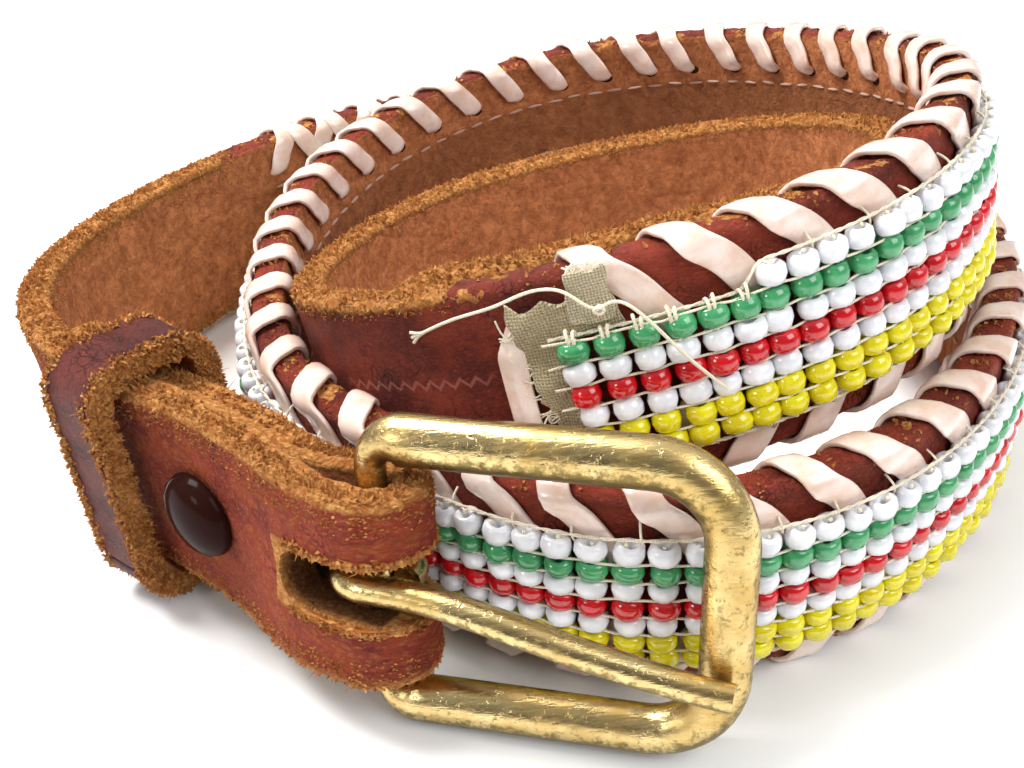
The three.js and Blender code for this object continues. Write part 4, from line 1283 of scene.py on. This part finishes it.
print("buckle")
buckleShape = {"wide": 5.5, "thick": 4.8, "span": 30.6, "reach": 36.2, "frontCorner": 8, "heelCorner": 3.2,
               "swing": 17, "sides": 6}
swing = math.radians(buckleShape["swing"])
reachOut = -heelAlong * math.cos(swing) - heelOut * math.sin(swing)
faceOut = heelOut * math.cos(swing) - heelAlong * math.sin(swing)


def atBuckle(piece):        # from a piece's own X, Y and Z to the buckle's reach, its width and out of its face
    places = corners(piece)
    setCorners(piece, (barMiddle + places @ np.array([reachOut, heelUp, faceOut]) + coilShift) / 1000)
    choose(piece)
    bpy.ops.object.mode_set(mode="EDIT")
    bpy.ops.mesh.select_all(action="SELECT")
    bpy.ops.mesh.normals_make_consistent(inside=False)
    bpy.ops.object.mode_set(mode="OBJECT")


def makeFrame():
    shape = buckleShape
    half = shape["span"] / 2
    line = []
    arcs = [(shape["heelCorner"], half - shape["heelCorner"], shape["heelCorner"], 180),
            (shape["reach"] - shape["frontCorner"], half - shape["frontCorner"], shape["frontCorner"], 90),
            (shape["reach"] - shape["frontCorner"], shape["frontCorner"] - half, shape["frontCorner"], 0),
            (shape["heelCorner"], shape["heelCorner"] - half, shape["heelCorner"], -90)]
    for x, y, radius, start in arcs:
        for step in range(13):
            turn = math.radians(start - 7.5 * step)
            line.append((x + radius * math.cos(turn), y + radius * math.sin(turn), 0))
    dense = []
    for i, point in enumerate(line):        # straight runs get points too
        after = line[(i + 1) % len(line)]
        gap = math.dist(point, after)
        for k in range(max(1, int(gap / 1.5))):
            share = k / max(1, int(gap / 1.5))
            dense.append([a + (b - a) * share for a, b in zip(point, after)])
    curve = bpy.data.curves.new("buckleFrame", "CURVE")
    curve.dimensions = "3D"
    curve.bevel_depth = 1
    curve.bevel_resolution = shape["sides"]
    spline = curve.splines.new("POLY")
    spline.points.add(len(dense) - 1)
    spline.use_cyclic_u = True
    spline.points.foreach_set("co", np.column_stack([dense, np.ones(len(dense))]).ravel())
    spline.points.foreach_set("radius", [shape["wide"] / 2 - (shape["wide"] / 2 - belt["heelBarRadius"])
                                         * max(0, 1 - max(0, point[0]) / shape["heelCorner"]) for point in dense])
    piece = bpy.data.objects.new("buckleFrame", curve)
    bpy.context.scene.collection.objects.link(piece)
    choose(piece)
    bpy.ops.object.convert(target="MESH")
    piece = bpy.context.object
    places = corners(piece)
    flatten = shape["thick"] / shape["wide"] + (1 - shape["thick"] / shape["wide"]) * np.clip(1 - places[:, 0] / 3.2, 0, 1)
    places[:, 2] *= flatten
    setCorners(piece, places)
    atBuckle(piece)
    dress(piece, "buckle", brass, ["buckle_frame"], smooth=60)


prongShape = {"wide": 3.2, "thick": 2.8, "over": 1.2, "sag": 7.4, "bow": 1.5, "crest": 1.3}


def makeProng():        # an eye round the heel bar, then a rod that bows before it rests on the frame
    shape = prongShape
    eye = belt["heelBarRadius"] + belt["gap"] + shape["thick"] / 2 + 0.2
    rest = buckleShape["thick"] / 2 + belt["gap"] + shape["thick"] / 2
    path = []
    for angle in np.arange(15, -270.1, -9.5):
        turn = math.radians(angle)
        path.append((eye * math.cos(turn), 0, eye * math.sin(turn)))
    for share in np.linspace(0.06, 1, 34):
        t = min(1, max(0, (share + 0.1) / 1.25))
        sideways = -shape["sag"] * t * t * (3 - 2 * t) + shape["bow"] * math.sin(math.pi * share) * (1 - share)
        path.append(((buckleShape["reach"] + shape["over"]) * share, sideways,
                     eye + (rest - eye) * share + shape["crest"] * math.sin(math.pi * share) ** 2 * (1 - 0.6 * share)))
    prong = threads("buckleProng", [np.array(path)], shape["wide"] / 2, resolution=4)
    places = corners(prong)
    reached = np.clip((places[:, 0] - buckleShape["reach"] * 0.55) / (buckleShape["reach"] * 0.5), 0, 1)
    middleLine = eye + (rest - eye) * places[:, 0] / buckleShape["reach"]
    squeeze = np.where(places[:, 0] > 6, 1 - 0.22 * reached, 1)
    places[:, 2] = np.where(places[:, 0] > 6, middleLine + (places[:, 2] - middleLine) * squeeze, places[:, 2])
    setCorners(prong, places)
    finishWith(prong, "BEVEL", width=0.4, segments=2, limit_method="ANGLE", angle_limit=math.radians(60))
    atBuckle(prong)
    dress(prong, "prong", brass, ["prong"], smooth=60)


makeFrame()
makeProng()

print("stage, light and camera")
photoView = {"focal": 1096.5, "centre": (595.8, 437.5), "size": (1024, 768), "pitch": 36.44, "roll": -2.32,
             "place": (-3.0, -133.0, 95.5)}        # from the coil's middle, in millimetres


def makeCamera():
    view = photoView
    camera = bpy.data.objects.new("camera", bpy.data.cameras.new("camera"))
    bpy.context.scene.collection.objects.link(camera)
    width, height = view["size"]
    camera.data.sensor_width = 36
    camera.data.lens = view["focal"] * 36 / width
    camera.data.shift_x = (width / 2 - view["centre"][0]) / width
    camera.data.shift_y = (view["centre"][1] - height / 2) / width
    camera.data.clip_start = 0.005
    pitch = math.radians(view["pitch"])
    roll = math.radians(view["roll"])
    ahead = Vector((0, math.cos(pitch), -math.sin(pitch)))
    right = Vector((1, 0, 0))
    above = Vector((0, math.sin(pitch), math.cos(pitch)))
    cameraX = right * math.cos(roll) + above * math.sin(roll)
    cameraY = above * math.cos(roll) - right * math.sin(roll)
    turned = Matrix((cameraX, cameraY, -ahead)).transposed().to_4x4()
    place = (Vector(view["place"]) + Vector(coilShift)) / 1000
    camera.matrix_world = Matrix.Translation(place) @ turned
    bpy.context.scene.camera = camera


def makeStage():
    ready()
    bpy.ops.mesh.primitive_plane_add(size=6, location=(0, 0, -0.0002))
    floor = bpy.context.object
    floor.name = "floor"
    material, tree, shader = newMaterial("paleFloor", Roughness=0.9, Specular_IOR_Level=0.1)
    place = add(tree, "TexCoord").outputs["Object"]
    tree.links.new(mixed(tree, speckle(tree, place, 30, 3), tint(243, 243, 243), tint(248, 248, 248)), shader["Base Color"])
    floor.data.materials.append(material)


def makeLight(name, place, aim, size, power, colour=(1, 1, 1)):
    light = bpy.data.objects.new(name, bpy.data.lights.new(name, "AREA"))
    light.data.size = size
    light.data.energy = power
    light.data.color = colour
    light.location = place
    light.rotation_euler = (Vector(aim) - Vector(place)).to_track_quat("-Z", "Y").to_euler()
    bpy.context.scene.collection.objects.link(light)


def makeLights():
    makeLight("window", (-0.3, 0.12, 0.6), (0, 0, 0.02), 0.3, 6.5, (1.0, 0.985, 0.96))
    makeLight("fill", (0.42, -0.3, 0.5), (0, 0, 0.02), 0.45, 3.0, (0.97, 0.985, 1.0))
    makeLight("strip", (-0.5, -0.42, 0.3), (0, 0, 0.02), 0.16, 0.9)
    world = bpy.data.worlds.new("paleRoom")
    world.use_nodes = True
    tree = world.node_tree
    ways = add(tree, "SeparateXYZ", {0: add(tree, "TexCoord").outputs["Generated"]}).outputs
    # the room is darker behind the viewer and near the table, which gives the brass its dark bands
    upper = ranged(tree, ways["Z"], 0.0, 0.75, 0.3, 1)
    beyond = ranged(tree, ways["Y"], -0.7, 0.3, 0.3, 1)
    background = tree.nodes["Background"]
    background.inputs["Color"].default_value = (1, 1, 1, 1)
    tree.links.new(math2(tree, "MULTIPLY", math2(tree, "MULTIPLY", upper, beyond), 0.95), background.inputs["Strength"])
    bpy.context.scene.world = world
    bpy.context.scene.view_settings.view_transform = "Standard"


makeCamera()
makeStage()
makeLights()
